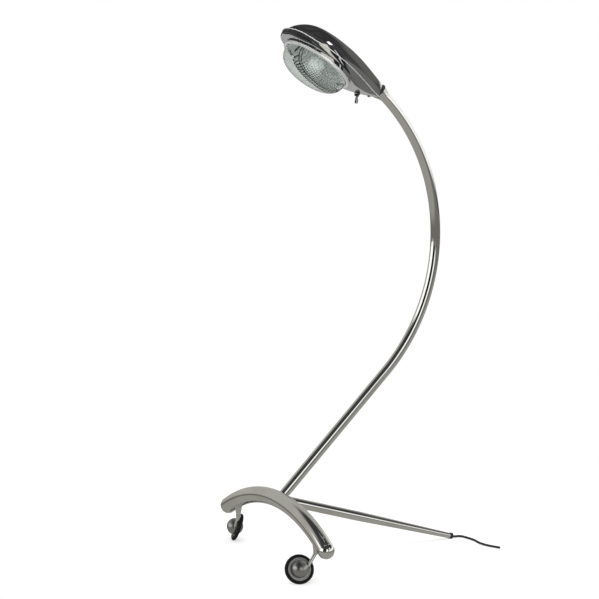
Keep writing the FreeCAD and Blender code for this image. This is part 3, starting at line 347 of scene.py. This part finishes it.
def heading(deg):
    return Vector((math.cos(math.radians(deg)), 0.0, math.sin(math.radians(deg))))


# ---------------------------------------------------------------- tubes
def ring_points(centre, along, radius, count, reference):
    across = along.cross(reference).normalized()
    up = along.cross(across).normalized()
    return [centre + (across * c + up * s) * radius for c, s in circle(count)]


def tube(name, stations, wall, reference, body, slot, stands_for=(), count=72, first_ring=None):
    """Hollow tube through (centre, direction, outer radius) stations. first_ring may reshape its start."""
    outer = [ring_points(c, d, r, count, reference) for c, d, r in stations]
    inner = [ring_points(c, d, r - wall, count, reference) for c, d, r in stations]
    if first_ring:
        outer[0] = [first_ring(p, stations[0][1]) for p in outer[0]]
        inner[0] = [first_ring(p, stations[0][1]) for p in inner[0]]
    points, faces = grid(outer + list(reversed(inner)), wrap_rows=True, wrap_columns=True)
    return piece(name, points, faces, body, slot, stands_for)


lean = Matrix.Translation(CREST) @ Matrix.Rotation(math.radians(ARCH_LEAN_DEG), 4, "Y")


def arch_station(deg, radius=ARCH_R):
    a = math.radians(deg)
    centre = lean @ Vector((0, ARCH_BEND_R * math.sin(a), ARCH_BEND_R * (math.cos(a) - 1)))
    along = lean.to_3x3() @ Vector((0, math.cos(a), -math.sin(a)))
    return centre, along, radius


def outside_arch(point):
    """Distance of a point from the arch tube's skin, negative inside."""
    local = lean.inverted() @ point
    y, z = local.y, local.z + ARCH_BEND_R
    return math.hypot(local.x, math.hypot(y, z) - ARCH_BEND_R) - ARCH_R


leg_slope = math.atan2(CREST.z - LEG_TIP_Z, LEG_TIP_X - CREST.x)
leg_dir = heading(-math.degrees(leg_slope))
leg_length = (LEG_TIP_X - CREST.x) / math.cos(leg_slope)


def outside_leg(point):
    rel = point - CREST
    return (rel - leg_dir * rel.dot(leg_dir)).length - LEG_R


def saddle(distance):
    """Slides a point along its direction to where it leaves the neighbouring tube."""
    def moved(point, along):
        low, high = 0.0, 70.0
        while high - low > 0.01:
            if distance(point + along * high) < 0:
                break
            high -= 0.5
        low = high
        high += 0.5
        for _ in range(20):
            mid = (low + high) / 2
            if distance(point + along * mid) < 0:
                low = mid
            else:
                high = mid
        return point + along * high
    return moved


arch_steps = 140
arch_angles = [-ARCH_HALF_DEG + 2 * ARCH_HALF_DEG * i / arch_steps for i in range(arch_steps + 1)]
tube("arch_skin", [arch_station(deg) for deg in arch_angles], ARCH_WALL, Vector((1, 0, 0)),
     "base", "chrome_tube", ["base_arch"], 96)

leg_marks = [0.0, 45.0, 70.0, 110.0, 150.0, 200.0, 240.0, LEG_STRAIGHT] + [
    LEG_STRAIGHT + (leg_length - LEG_STRAIGHT) * i / 12 for i in range(1, 13)]


def leg_radius(s):
    return LEG_R + (LEG_TIP_R - LEG_R) * max(0.0, s - LEG_STRAIGHT) / (leg_length - LEG_STRAIGHT)


leg_stations = [(CREST + leg_dir * s, leg_dir, leg_radius(s)) for s in leg_marks]
tube("leg_skin", leg_stations, LEG_WALL, Vector((0, 1, 0)), "base", "chrome_tube", ["rear_leg"], 72,
     saddle(outside_arch))

arm_root = CREST - Vector((0, 0, ARM_ROOT_DROP))
arm_dir = heading(ARM_LEAN_DEG)
bend_start = arm_root + arm_dir * ARM_STRAIGHT
bend_centre = bend_start + heading(ARM_LEAN_DEG + 90) * ARM_BEND_R
arm_stations = [(arm_root + arm_dir * s, arm_dir, ARM_R) for s in
                [0.0, 75.0] + [75.0 + (ARM_STRAIGHT - 75.0) * i / 14 for i in range(1, 15)]]
arm_steps = 120
for i in range(1, arm_steps + 1):
    turn = ARM_LEAN_DEG + ARM_BEND_DEG * i / arm_steps
    arm_stations.append((bend_centre + heading(turn - 90) * ARM_BEND_R, heading(turn), ARM_R))
tube("arm_skin", arm_stations, ARM_WALL, Vector((0, 1, 0)), "base", "chrome_tube", ["arm_tube"], 72,
     saddle(lambda p: min(outside_arch(p), outside_leg(p))))

# ---------------------------------------------------------------- end balls
for side, sign in (("left", -1.0), ("right", 1.0)):
    centre, along, _ = arch_station(sign * ARCH_HALF_DEG)
    out = along * sign
    turn = Vector((0, 0, 1)).rotation_difference(out).to_matrix().to_4x4()
    groove = ARCH_R - 0.8
    profile = [(0.0, -18.0), (12.0, -18.0), (16.5, -14.0), (17.2, 0.0), (groove, 0.1), (groove, 1.0)]
    profile += arc_points(ARCH_R, 3.4, 90.0, 40)
    profile = rounded(profile[:5], 0.3, closed=False) + profile[5:]
    lathe("ball_" + side, profile, Matrix.Translation(centre) @ turn, "base", "chrome_tube",
          ["end_ball_" + side])


# ---------------------------------------------------------------- head shells
def half_width(s):
    if s >= HEAD_WIDEST:
        q = min(1.0, (s - HEAD_WIDEST) / (HEAD_LENGTH - HEAD_WIDEST))
        return HEAD_HALF * math.sqrt(max(0.0, 1 - q * q))
    q = max(0.0, s / HEAD_WIDEST)
    return NECK_HALF + (HEAD_HALF - NECK_HALF) * q ** TAPER_POWER * (TAPER_POWER + 1 - TAPER_POWER * q)


def ease(q):
    q = min(1.0, max(0.0, q))
    return q * q * (3 - 2 * q)


def cover_rise(s):
    if s < COVER_PEAK:
        q = max(0.0, s) / COVER_PEAK
        return COVER_NECK_RISE + (COVER_RISE - COVER_NECK_RISE) * math.sin(q * math.pi / 2) ** COVER_SWELL
    q = min(1.0, (s - COVER_PEAK) / (HEAD_LENGTH - BRIM_DEPTH - COVER_PEAK))
    return BRIM_RISE + (COVER_RISE - BRIM_RISE) * (1 - q ** 3.1) ** 0.63


lens_pitch = math.tan(math.radians(LENS_DEG - HEAD_DEG))
LENS_R = 94.0


def housing_drop(s):
    rear_end = LENS_AT - LENS_R
    plane = LENS_DROP - (s - LENS_AT) * lens_pitch - SEAT_STAND
    if s < rear_end:
        rear = LENS_DROP + LENS_R * lens_pitch - SEAT_STAND
        share = math.sin(max(0.0, s) / rear_end * math.pi / 2)
        return HOUSING_NECK_DROP + (rear - HOUSING_NECK_DROP) * share
    if s > NOSE_START:
        q = min(1.0, (s - NOSE_START) / (HEAD_LENGTH - NOSE_START))
        return plane * (1 - q ** 7.0) ** (1 / 3.0)
    return plane


def even(points, count):
    """count + 1 points at equal steps along a fine outline."""
    lengths = [0.0]
    for a, b in zip(points, points[1:]):
        lengths.append(lengths[-1] + math.dist(a, b))
    out, k = [], 0
    for i in range(count + 1):
        want = lengths[-1] * i / count
        while k < len(points) - 2 and lengths[k + 1] < want:
            k += 1
        t = (want - lengths[k]) / max(1e-9, lengths[k + 1] - lengths[k])
        out.append(tuple(u + (v - u) * min(1.0, t) for u, v in zip(points[k], points[k + 1])))
    return out


def half_section(half, height, power, count):
    """Rounded arch from +half to -half, as (across, up)."""
    fine = []
    for i in range(241):
        a = math.pi * i / 240
        c, n = math.cos(a), math.sin(a)
        fine.append((half * math.copysign(abs(c) ** (2 / power), c), height * abs(n) ** (2 / power)))
    return even(fine, count)


neck_lean = math.tan(math.radians(180.0 - (ARM_LEAN_DEG + ARM_BEND_DEG) - HEAD_DEG))
TIP_START, TIP_RUN, TIP_DRAWN_BACK, CROWN_LIFT = 215.0, 103.0, 10.0, 6.5
SEAM_LIFT_START, SEAM_LIFT_RUN, SEAM_LIFT = 262.0, 56.0, 6.0


def tip_shift(s):
    """The shells draw back towards the tip, where the seam also lifts out of its plane: (along, up)."""
    along = -TIP_DRAWN_BACK * ease((s - TIP_START) / TIP_RUN)
    return along, SEAM_LIFT * ease((s - SEAM_LIFT_START) / SEAM_LIFT_RUN)


def crown_lift(s):
    """How far the cover's crown rises towards the tip."""
    return CROWN_LIFT * ease((s - TIP_START) / TIP_RUN)


def shell_rows(rise, power_at, inset, thin, sign, count=72):
    """Rows across one half of the head, from the neck plane to the tip."""
    rear = [HEAD_WIDEST * (i / 44) ** 0.9 for i in range(45)]
    nose = HEAD_LENGTH - HEAD_WIDEST
    front = [HEAD_WIDEST + nose * math.sin(math.radians(90 * i / 40)) for i in range(1, 41)]
    rows = []
    for s in rear + front:
        shrink = (nose - inset - thin) / nose
        at = HEAD_WIDEST + (s - HEAD_WIDEST) * shrink if s > HEAD_WIDEST else s
        half = max(0.0, half_width(s) - inset - thin)
        if s > HEAD_WIDEST:
            half = half_width(s) * (HEAD_HALF - inset - thin) / HEAD_HALF
        height = max(0.0, rise(s) - thin)
        row = []
        back, lift = tip_shift(s)
        for y, z in half_section(half, height, power_at(s), count):
            up = sign * z
            level = z / max(height, 0.1)
            raised = lift * (1.0 - level) + (crown_lift(s) * level if sign > 0 else 0.0)
            row.append((at + back - (up - SEAM_BELOW) * neck_lean * (1 - ease(s / 45.0)), y, up + raised))
        rows.append(row)
    return rows


def shell(name, rise, power_at, inset, sign, stands_for):
    outer = shell_rows(rise, power_at, inset, 0.0, sign)
    inner = shell_rows(rise, power_at, inset, SHELL_T, sign)
    n, k = len(outer), len(outer[0])
    p1, f1 = grid(outer)
    p2, f2 = grid(inner)
    base = len(p1)
    faces = f1 + [tuple(base + v for v in reversed(f)) for f in f2]
    for i in range(n - 1):
        for j in (0, k - 1):
            a, b = i * k + j, (i + 1) * k + j
            faces.append((a, b, base + b, base + a))
    for j in range(k - 1):
        faces.append((j, j + 1, base + j + 1, base + j))
    return piece(name, p1 + p2, faces, "head", "chrome_shell", stands_for, head_frame)


def housing_power(s):
    """The housing's section grows squarer from the neck on."""
    return 2.3 + 3.2 * ease(s / 100.0)


shell("cover_skin", cover_rise, lambda s: COVER_POWER, COVER_INSET, 1.0, ["top_cover"])
housing = shell("housing_skin", housing_drop, housing_power, 0.0, -1.0, ["lower_housing"])


def cut_away(obj, profile, place):
    """Subtracts a turned solid from a piece and keeps the result as its mesh."""
    points, faces = grid(lathe_rows(profile, 160), wrap_rows=True, wrap_columns=True)
    mesh = bpy.data.meshes.new("cutter")
    mesh.from_pydata([(place @ Vector(p)) * MM for p in points], [], faces)
    bm = bmesh.new()
    bm.from_mesh(mesh)
    bmesh.ops.remove_doubles(bm, verts=bm.verts, dist=1e-6)
    bmesh.ops.recalc_face_normals(bm, faces=bm.faces)
    bm.to_mesh(mesh)
    bm.free()
    cutter = bpy.data.objects.new("cutter", mesh)
    scene.collection.objects.link(cutter)
    modifier = obj.modifiers.new("cut", "BOOLEAN")
    modifier.operation = "DIFFERENCE"
    modifier.solver = "EXACT"
    modifier.object = cutter
    bpy.context.view_layer.update()
    result = bpy.data.meshes.new_from_object(obj.evaluated_get(bpy.context.evaluated_depsgraph_get()))
    obj.modifiers.clear()
    obj.data = result
    bpy.data.objects.remove(cutter)
    result.polygons.foreach_set("use_smooth", [True] * len(result.polygons))
    result.set_sharp_from_angle(angle=math.radians(35))


cut_away(housing, [(0, -20), (BORE_R, -20), (BORE_R, 14), (0, 14)], lens_frame)
seat_profile = [(BORE_R, 0.0), (SEAT_R, 0.0), (SEAT_R, 9.0), (BORE_R, 9.0)]
lathe("lens_seat", rounded(seat_profile, 0.5), lens_frame, "head", "chrome_shell", (), 160)

# ---------------------------------------------------------------- seam bead
seam_marks = [HEAD_WIDEST * i / 60 for i in range(60)]
nose = HEAD_LENGTH - HEAD_WIDEST
seam_marks += [HEAD_WIDEST + nose * math.sin(math.radians(a)) for a in range(0, 90, 2)]
outline = [(s, half_width(s)) for s in seam_marks]
outline += [(HEAD_LENGTH, 0.0)]
outline += [(s, -w) for s, w in reversed(outline[:-1])]
bead_rows = []
lower_bead = [(-5.0, -0.9), (0.2, -1.25), (0.9, -1.05), (1.35, -0.5)]
bead = lower_bead + [(1.5, 0.0)] + [(out, -up) for out, up in reversed(lower_bead)]
for i, (s, w) in enumerate(outline):
    a = Vector(outline[max(0, i - 1)])
    b = Vector(outline[min(len(outline) - 1, i + 1)])
    along = (b - a).normalized()
    outwards = Vector((along.y, -along.x)) * -1.0
    back, lift = tip_shift(s)
    bead_rows.append([(s + back + outwards.x * o, w + outwards.y * o, z + lift) for o, z in bead])
points, faces = grid(bead_rows, wrap_columns=True)
last = (len(bead_rows) - 1) * len(bead)
faces += [tuple(range(len(bead))), tuple(last + i for i in reversed(range(len(bead))))]
piece("seam_bead", points, faces, "head", "chrome_trim", ["seam_trim"], head_frame, 50.0)

# ---------------------------------------------------------------- pressed glass
DOME_R, DOME_DEPTH, DOME_POWER, GLASS_T, FLANGE_LOW, FLANGE_TOP = 89.0, 50.0, 2.6, 3.2, -5.02, -1.52


def dome_point(x, y, radius, depth):
    q = min(1.0, math.hypot(x, y) / radius)
    return FLANGE_LOW - depth * (1 - q ** DOME_POWER) ** (1 / DOME_POWER)


def moulding(x, y):
    """Depth of the pressed pattern on the inner face of the glass at (x, y)."""
    r = math.hypot(x, y) / (DOME_R - GLASS_T)
    fade = 1 - ease((r - 0.86) / 0.1)
    across = y - RIDGE_Y
    ridge = 2.4 * math.exp(-(across / 1.9) ** 2)
    if across > 0:
        lengthwise = abs(math.sin(math.pi * across / PRISM_PITCH))
        hatch = abs(math.sin(math.pi * x / PRISM_PITCH)) + 0.8 * lengthwise
        pattern = (1.1 + 1.0 * math.exp(-(across / 9.0) ** 2)) * hatch * ease(across / 4.0)
    else:
        band = ease(-across / 3.0) * (1 - 0.9 * ease((-across - 16.0) / 8.0))
        pattern = 2.0 * abs(math.sin(math.pi * x / RIB_PITCH)) * band
    return fade * (ridge + pattern)


def glass_rows(radius, depth, pattern, rings, spokes):
    rows = []
    for i in range(rings + 1):
        a = math.pi / 2 * i / rings
        r = radius * math.sin(a) ** (2 / DOME_POWER)
        row = []
        for c, s in circle(spokes):
            z = dome_point(r * c, r * s, radius, depth)
            row.append((r * c, r * s, z - (moulding(r * c, r * s) if pattern else 0.0)))
        rows.append(row)
    return rows


def stitch(ring_a, ring_b):
    """Triangles between two closed rings with different numbers of points."""
    n, k = len(ring_a), len(ring_b)
    triangles = []
    i = j = 0
    while i < n or j < k:
        if j >= k or (i < n and (i + 1) / n <= (j + 1) / k):
            triangles.append((ring_a[i % n], ring_a[(i + 1) % n], ring_b[j % k]))
            i += 1
        else:
            triangles.append((ring_a[i % n], ring_b[(j + 1) % k], ring_b[j % k]))
            j += 1
    return triangles


OUTER_SPOKES, INNER_SPOKES = 200, 480
outer_rows = glass_rows(DOME_R, DOME_DEPTH, False, 60, OUTER_SPOKES)
inner_rows = glass_rows(DOME_R - GLASS_T, DOME_DEPTH - GLASS_T, True, 110, INNER_SPOKES)
flange = [(DOME_R + 1.2, FLANGE_LOW), (LENS_R - 0.4, FLANGE_LOW), (LENS_R, FLANGE_LOW + 0.4),
          (LENS_R, FLANGE_TOP - 0.4), (LENS_R - 0.4, FLANGE_TOP), (DOME_R - GLASS_T, FLANGE_TOP)]
p1, f1 = grid(outer_rows + lathe_rows(flange, OUTER_SPOKES), wrap_columns=True)
p2, f2 = grid(inner_rows, wrap_columns=True)
base = len(p1)
faces = f1 + [tuple(base + v for v in reversed(f)) for f in f2]
rim_a = len(p1) - OUTER_SPOKES
rim_b = base + len(p2) - INNER_SPOKES
faces += stitch(range(rim_a, rim_a + OUTER_SPOKES), range(rim_b, rim_b + INNER_SPOKES))
piece("glass_dome", p1 + p2, faces, "head", "lens_glass", ["lens_glass"], lens_frame, 60.0)

# ---------------------------------------------------------------- trim ring and reflector
ring_profile = [(LENS_R + 2.0, -0.02), (97.4, -0.02), (97.6, -1.0), (97.6, -4.4), (96.2, -6.3),
                (94.0, -6.9), (91.0, -6.6), (89.8, -6.0), (89.8, FLANGE_LOW - 0.02),
                (LENS_R + 0.4, FLANGE_LOW - 0.02), (LENS_R + 0.4, -1.54), (LENS_R + 2.0, -1.54)]
ring_profile = rounded(ring_profile, 0.9, 4)
lathe("trim_ring", ring_profile, lens_frame, "head", "chrome_trim", ["lens_trim_ring"], 200, 50.0)

REFLECTOR_R, REFLECTOR_DEPTH, REFLECTOR_HOLE = 86.0, 44.0, 16.0
bowl = []
for i in range(41):
    r = REFLECTOR_R - (REFLECTOR_R - REFLECTOR_HOLE) * i / 40
    bowl.append((r, REFLECTOR_DEPTH * (1 - (r / REFLECTOR_R) ** 2) + 0.02))
back = [(r + 0.75, z + 1.0) for r, z in reversed(bowl)]
rim = [(REFLECTOR_R + 1.2, 1.02), (BORE_R - 1.0, 1.02), (BORE_R - 1.0, 0.02)]
bowl += back + rim
lathe("reflector_bowl", bowl, lens_frame, "head", "reflector_mirror", ["reflector"], 128, 40.0)

# ---------------------------------------------------------------- casters
for side in ("left", "right"):
    spin = joints["wheel_%s_spin" % side]
    centre = Vector(spin["pos_m"]) / MM
    axis = Vector(spin["axis"]).normalized()
    wheel = Matrix.Translation(centre) @ Vector((0, 0, 1)).rotation_difference(axis).to_matrix().to_4x4()
    rim_z = -BALL_OFFSET
    crown = arc_points(TYRE_CROWN_R, -90, 90, 24, (WHEEL_R - TYRE_CROWN_R, rim_z))
    wall = TYRE_CROWN_R
    inner = TYRE_SEAT_R + 0.05
    half = [(31.6, wall), (31.3, wall - 0.5), (30.9, wall - 0.5), (30.6, wall), (inner + 0.3, wall),
            (inner, wall - 0.3)]
    tyre = crown + [(r, rim_z + z) for r, z in half] + [(r, rim_z - z) for r, z in reversed(half)]
    lathe("tyre_" + side, tyre, wheel, "wheel_" + side, "wheel_rubber", ["caster_tyre_" + side], 128)

# ---------------------------------------------------------------- CAD nodes that stay: their finish
for name, node in nodes.items():
    node.data.materials.clear()
    node.data.materials.append(finish[slot_of_node[name]])


def bright_beyond(plain, node, centre, reach):
    """A copy of a metal that turns to polished plating farther than reach from a point of the node."""
    m = plain.copy()
    t = Tree(m.node_tree, fresh=False)
    shader = principled(m)
    where = t.node("ShaderNodeTexCoord").outputs["Object"]
    local = tuple(node.matrix_world.inverted() @ (centre * MM))
    away = t.node("ShaderNodeVectorMath", {0: where, 1: local}, operation="DISTANCE").outputs["Value"]
    polished = t.ramp_between(away, reach * MM, (reach + 0.8) * MM)
    for key, value in (("Base Color", (0.86, 0.86, 0.85, 1)), ("Roughness", (0.05, 0.05, 0.05, 1))):
        before = shader.inputs[key].links[0].from_socket
        t.feed(shader.inputs[key], t.mix(polished, before, value))
    return m


for side in ("left", "right"):
    hood = nodes["caster_hood_" + side]
    ball = Vector(joints["wheel_%s_spin" % side]["pos_m"]) / MM
    hood.data.materials[0] = bright_beyond(finish["caster_metal"], hood, ball, BALL_R + 0.4)

# ---------------------------------------------------------------- studio
def angles(t, direction):
    """Azimuth and elevation of a direction, in degrees."""
    parts = t.node("ShaderNodeSeparateXYZ", {0: direction})
    azimuth = t.math("ARCTAN2", parts.outputs[1], parts.outputs[0])
    elevation = t.math("ARCSINE", parts.outputs[2])
    return t.math("MULTIPLY", azimuth, 180 / math.pi), t.math("MULTIPLY", elevation, 180 / math.pi)


def with_cards(t, look, azimuth, elevation, cards):
    """Lays soft-edged cards over a look. A card is azimuth, half width, low, high, softness and colour."""
    for centre, half, low, high, soft, colour in cards:
        away = t.math("SUBTRACT", azimuth, centre)
        away = t.math("WRAP", away, 180.0, -180.0)
        away = t.math("ABSOLUTE", away)
        beside = t.ramp_between(away, half - soft / 2, half + soft / 2, 1.0, 0.0)
        above = t.ramp_between(elevation, low - soft / 2, low + soft / 2)
        below = t.ramp_between(elevation, high - soft / 2, high + soft / 2, 1.0, 0.0)
        look = t.mix(t.math("MULTIPLY", beside, t.math("MULTIPLY", above, below)), look, colour)
    return look


HEAD_CARDS = [
    (122.0, 20.0, -52.0, -14.0, 8.0, (0.030, 0.034, 0.040, 1)),
    (74.0, 28.0, -55.0, -10.0, 8.0, (0.40, 0.40, 0.39, 1)),
    (180.0, 27.0, -70.0, 30.0, 8.0, (0.022, 0.022, 0.024, 1)),
    (226.0, 20.0, -65.0, 30.0, 5.0, (0.045, 0.045, 0.047, 1)),
    (212.0, 3.5, -34.0, 12.0, 4.0, (0.30, 0.30, 0.29, 1)),
    (269.0, 20.0, -60.0, 31.0, 3.0, (0.64, 0.63, 0.55, 1)),
    (307.0, 17.0, -65.0, 14.0, 4.0, (0.020, 0.021, 0.026, 1)),
    (312.0, 1.8, -30.0, 12.0, 2.0, (0.75, 0.75, 0.75, 1)),
    (346.0, 20.0, -65.0, -2.0, 6.0, (0.15, 0.15, 0.145, 1)),
    (316.0, 11.0, 32.0, 45.0, 5.0, (1.7, 1.7, 1.75, 1)),
    (30.0, 26.0, -30.0, 24.0, 10.0, (0.12, 0.12, 0.115, 1)),
]


# where the head is in the room, in metres: above HEAD_FLOOR and on the low side of HEAD_BACK
HEAD_FLOOR, HEAD_BACK = (1.10, 1.12), (-0.240, -0.228)
DUSK_LOW, DUSK_HIGH, DUSK_WARM = (0.11, 0.11, 0.105, 1), (0.034, 0.033, 0.035, 1), (0.10, 0.088, 0.080, 1)
BEYOND_GLASS = [(62.0, 50.0, -42.0, 30.0, 24.0, (0.60, 0.63, 0.61, 1))]


def ray_start(t, geometry):
    """The place that a mirrored or refracted ray set out from, as x, y and z."""
    length = t.node("ShaderNodeLightPath").outputs["Ray Length"]
    back = {0: geometry.outputs["Incoming"], "Scale": length}
    step = t.node("ShaderNodeVectorMath", back, operation="SCALE").outputs[0]
    start = t.node("ShaderNodeVectorMath", {0: geometry.outputs["Position"], 1: step}, operation="ADD")
    return t.node("ShaderNodeSeparateXYZ", {0: start.outputs[0]}).outputs


def head_look(t):
    """What the head mirrors, by direction, and whether a mirrored ray set out from the head."""
    geometry = t.node("ShaderNodeNewGeometry")
    start = ray_start(t, geometry)
    high = t.ramp_between(start[2], *HEAD_FLOOR)
    forward = t.ramp_between(start[0], *HEAD_BACK, 1.0, 0.0)
    turned = {0: geometry.outputs["Incoming"], "Scale": -1.0}
    ahead = t.node("ShaderNodeVectorMath", turned, operation="SCALE").outputs[0]
    azimuth, elevation = angles(t, ahead)
    dusk = t.mix(t.ramp_between(elevation, -25.0, 20.0), DUSK_LOW, DUSK_HIGH)
    veil = t.noise(ahead, 2.2, 2.0)
    dusk = t.mix(t.ramp_between(veil, 0.45, 0.70, 0.0, 0.5), dusk, DUSK_WARM)
    look = with_cards(t, dusk, azimuth, elevation, HEAD_CARDS)
    through = t.node("ShaderNodeLightPath").outputs["Is Transmission Ray"]
    beyond = with_cards(t, (0.10, 0.105, 0.10, 1), azimuth, elevation, BEYOND_GLASS)
    return t.mix(through, look, beyond), t.math("MULTIPLY", high, forward)


def seen_directly(t):
    """One for rays from the camera and for soft light, zero for mirrored and refracted rays."""
    path = t.node("ShaderNodeLightPath")
    return t.math("MAXIMUM", path.outputs["Is Camera Ray"], path.outputs["Is Diffuse Ray"])


def stage(name, mesh, material_name):
    """Puts a mesh on the stage and gives it an empty material: object, tree and output node."""
    obj = bpy.data.objects.new(name, mesh)
    scene.collection.objects.link(obj)
    m = bpy.data.materials.new(material_name)
    m.use_nodes = True
    mesh.materials.append(m)
    t = Tree(m.node_tree)
    return obj, t, t.node("ShaderNodeOutputMaterial")


FLOOR_HALF, FLOOR_Z = 14.0, -0.0005
FLOOR_MIDDLE, FLOOR_FADE = (-0.28, 0.0, 0.0), (0.30, 0.95, 0.55, 1.0)
PAPER_MIRRORED, SKIRTING_MIRRORED = (0.325, 0.32, 0.29, 1), (0.11, 0.107, 0.092, 1)


def studio_floor():
    """Pale paper that burns out to white away from the lamp; the chrome mirrors it darker."""
    mesh = bpy.data.meshes.new("studio_floor")
    corners = [(x * FLOOR_HALF, y * FLOOR_HALF, FLOOR_Z) for x, y in ((-1, -1), (1, -1), (1, 1), (-1, 1))]
    mesh.from_pydata(corners, [], [(0, 1, 2, 3)])
    _, t, out = stage("studio_floor", mesh, "floor_paper")
    where = t.node("ShaderNodeTexCoord").outputs["Object"]
    paper = t.mix(t.noise(where, 3.0, 3.0), (0.86, 0.86, 0.86, 1), (0.89, 0.89, 0.885, 1))
    lit = t.node("ShaderNodeBsdfDiffuse", {"Color": paper})
    spot = t.node("ShaderNodeVectorMath", {0: where, 1: FLOOR_MIDDLE}, operation="DISTANCE").outputs["Value"]
    burnt_out = t.node("ShaderNodeEmission", {"Color": (1, 1, 1, 1), "Strength": 1.0})
    far = t.ramp_between(spot, *FLOOR_FADE)
    seen = t.node("ShaderNodeMixShader", {0: far, 1: lit.outputs[0], 2: burnt_out.outputs[0]})
    head_view, from_head = head_look(t)
    incoming = t.node("ShaderNodeNewGeometry").outputs["Incoming"]
    steepness = t.node("ShaderNodeSeparateXYZ", {0: incoming}).outputs[2]
    skirting = t.math("MULTIPLY", t.ramp_between(steepness, 0.02, 0.09),
                      t.ramp_between(steepness, 0.15, 0.28, 0.75, 0.0))
    paper_view = t.mix(skirting, PAPER_MIRRORED, SKIRTING_MIRRORED)
    mirror_view = t.mix(from_head, paper_view, head_view)
    mirrored = t.node("ShaderNodeEmission", {"Color": mirror_view, "Strength": 1.0})
    both = t.node("ShaderNodeMixShader", {0: seen_directly(t), 1: mirrored.outputs[0], 2: seen.outputs[0]})
    t.feed(out.inputs["Surface"], both.outputs[0])


def studio_shell():
    """A wide ball round the studio that only mirrored and refracted rays from the head can see."""
    mesh = bpy.data.meshes.new("studio_shell")
    bm = bmesh.new()
    bmesh.ops.create_icosphere(bm, subdivisions=4, radius=13.0)
    bm.to_mesh(mesh)
    bm.free()
    ball, t, out = stage("studio_shell", mesh, "shell_air")
    ball.visible_camera = False
    ball.visible_diffuse = False
    ball.visible_shadow = False
    head_view, from_head = head_look(t)
    view = t.node("ShaderNodeEmission", {"Color": head_view, "Strength": 1.0})
    air = t.node("ShaderNodeBsdfTransparent", {"Color": (1, 1, 1, 1)})
    shown = t.math("MULTIPLY", from_head, t.math("SUBTRACT", 1.0, seen_directly(t)))
    both = t.node("ShaderNodeMixShader", {0: shown, 1: air.outputs[0], 2: view.outputs[0]})
    t.feed(out.inputs["Surface"], both.outputs[0])


WALL, CEILING, BACKDROP = (0.30, 0.295, 0.27, 1), (0.045, 0.045, 0.048, 1), (0.42, 0.41, 0.38, 1)
ROOM_CARDS = [
    (85.0, 62.0, -20.0, 52.0, 16.0, BACKDROP),
    (172.0, 30.0, -20.0, 32.0, 8.0, (1.25, 1.25, 1.22, 1)),
    (225.0, 27.0, -26.0, 42.0, 5.0, (0.018, 0.018, 0.020, 1)),
    (259.0, 12.0, -16.0, 31.0, 4.0, (1.15, 1.15, 1.12, 1)),
    (283.0, 10.0, -20.0, 40.0, 5.0, (0.14, 0.14, 0.13, 1)),
    (305.0, 7.0, 18.0, 44.0, 6.0, (1.3, 1.3, 1.3, 1)),
    (326.0, 14.0, 24.0, 80.0, 8.0, (0.02, 0.02, 0.022, 1)),
    (0.0, 38.0, 3.0, 24.0, 6.0, (1.0, 1.0, 0.98, 1)),
    (310.0, 26.0, 2.0, 15.0, 3.0, (1.1, 1.1, 1.08, 1)),
    (340.0, 34.0, -14.0, 0.0, 4.0, (0.06, 0.06, 0.055, 1)),
]


def studio_room():
    """White to the camera; tubes and casters mirror walls, a dark ceiling and the cards."""
    world = bpy.data.worlds.new("studio")
    scene.world = world
    world.use_nodes = True
    t = Tree(world.node_tree)
    out = t.node("ShaderNodeOutputWorld")
    azimuth, elevation = angles(t, t.node("ShaderNodeTexCoord").outputs["Generated"])
    look = t.mix(t.ramp_between(elevation, 18.0, 48.0), WALL, CEILING)
    look = with_cards(t, look, azimuth, elevation, ROOM_CARDS)
    seen = t.mix(seen_directly(t), look, (1.0, 1.0, 1.0, 1))
    light = t.node("ShaderNodeBackground", {"Color": seen, "Strength": 1.0})
    t.feed(out.inputs["Surface"], light.outputs[0])


studio_floor()
studio_shell()
studio_room()


def area_light(name, at, aim, size, power):
    data = bpy.data.lights.new(name, "AREA")
    data.shape = "DISK"
    data.size = size
    data.energy = power
    obj = bpy.data.objects.new(name, data)
    obj.location = at
    obj.rotation_euler = (Vector(aim) - Vector(at)).to_track_quat("-Z", "Y").to_euler()
    obj.visible_camera = False
    obj.visible_glossy = False
    obj.visible_transmission = False
    scene.collection.objects.link(obj)


area_light("overhead", (-0.6, -0.4, 3.2), (-0.3, 0.0, 0.0), 2.4, 60.0)
area_light("front_left", (-2.6, -2.2, 2.2), (-0.3, 0.0, 0.6), 1.6, 45.0)

# ---------------------------------------------------------------- camera
CAMERA_AT, CAMERA_LENS = (-3.0789, -4.8936, 1.4783), 131.9
CAMERA_TURN_DEG, CAMERA_DIP_DEG = 61.86, 8.17
camera_data = bpy.data.cameras.new("camera")
camera_data.sensor_width = 36.0
camera_data.lens = CAMERA_LENS
camera_data.clip_start = 0.5
camera_data.clip_end = 60.0
camera = bpy.data.objects.new("camera", camera_data)
camera.location = CAMERA_AT
camera_turn, camera_dip = math.radians(CAMERA_TURN_DEG), math.radians(CAMERA_DIP_DEG)
look_along = Vector((math.cos(camera_turn) * math.cos(camera_dip),
                     math.sin(camera_turn) * math.cos(camera_dip),
                     -math.sin(camera_dip)))
camera.rotation_mode = "QUATERNION"
camera.rotation_quaternion = look_along.to_track_quat("-Z", "Y")
scene.collection.objects.link(camera)
scene.camera = camera
scene.view_settings.view_transform = "Standard"
scene.view_settings.look = "None"
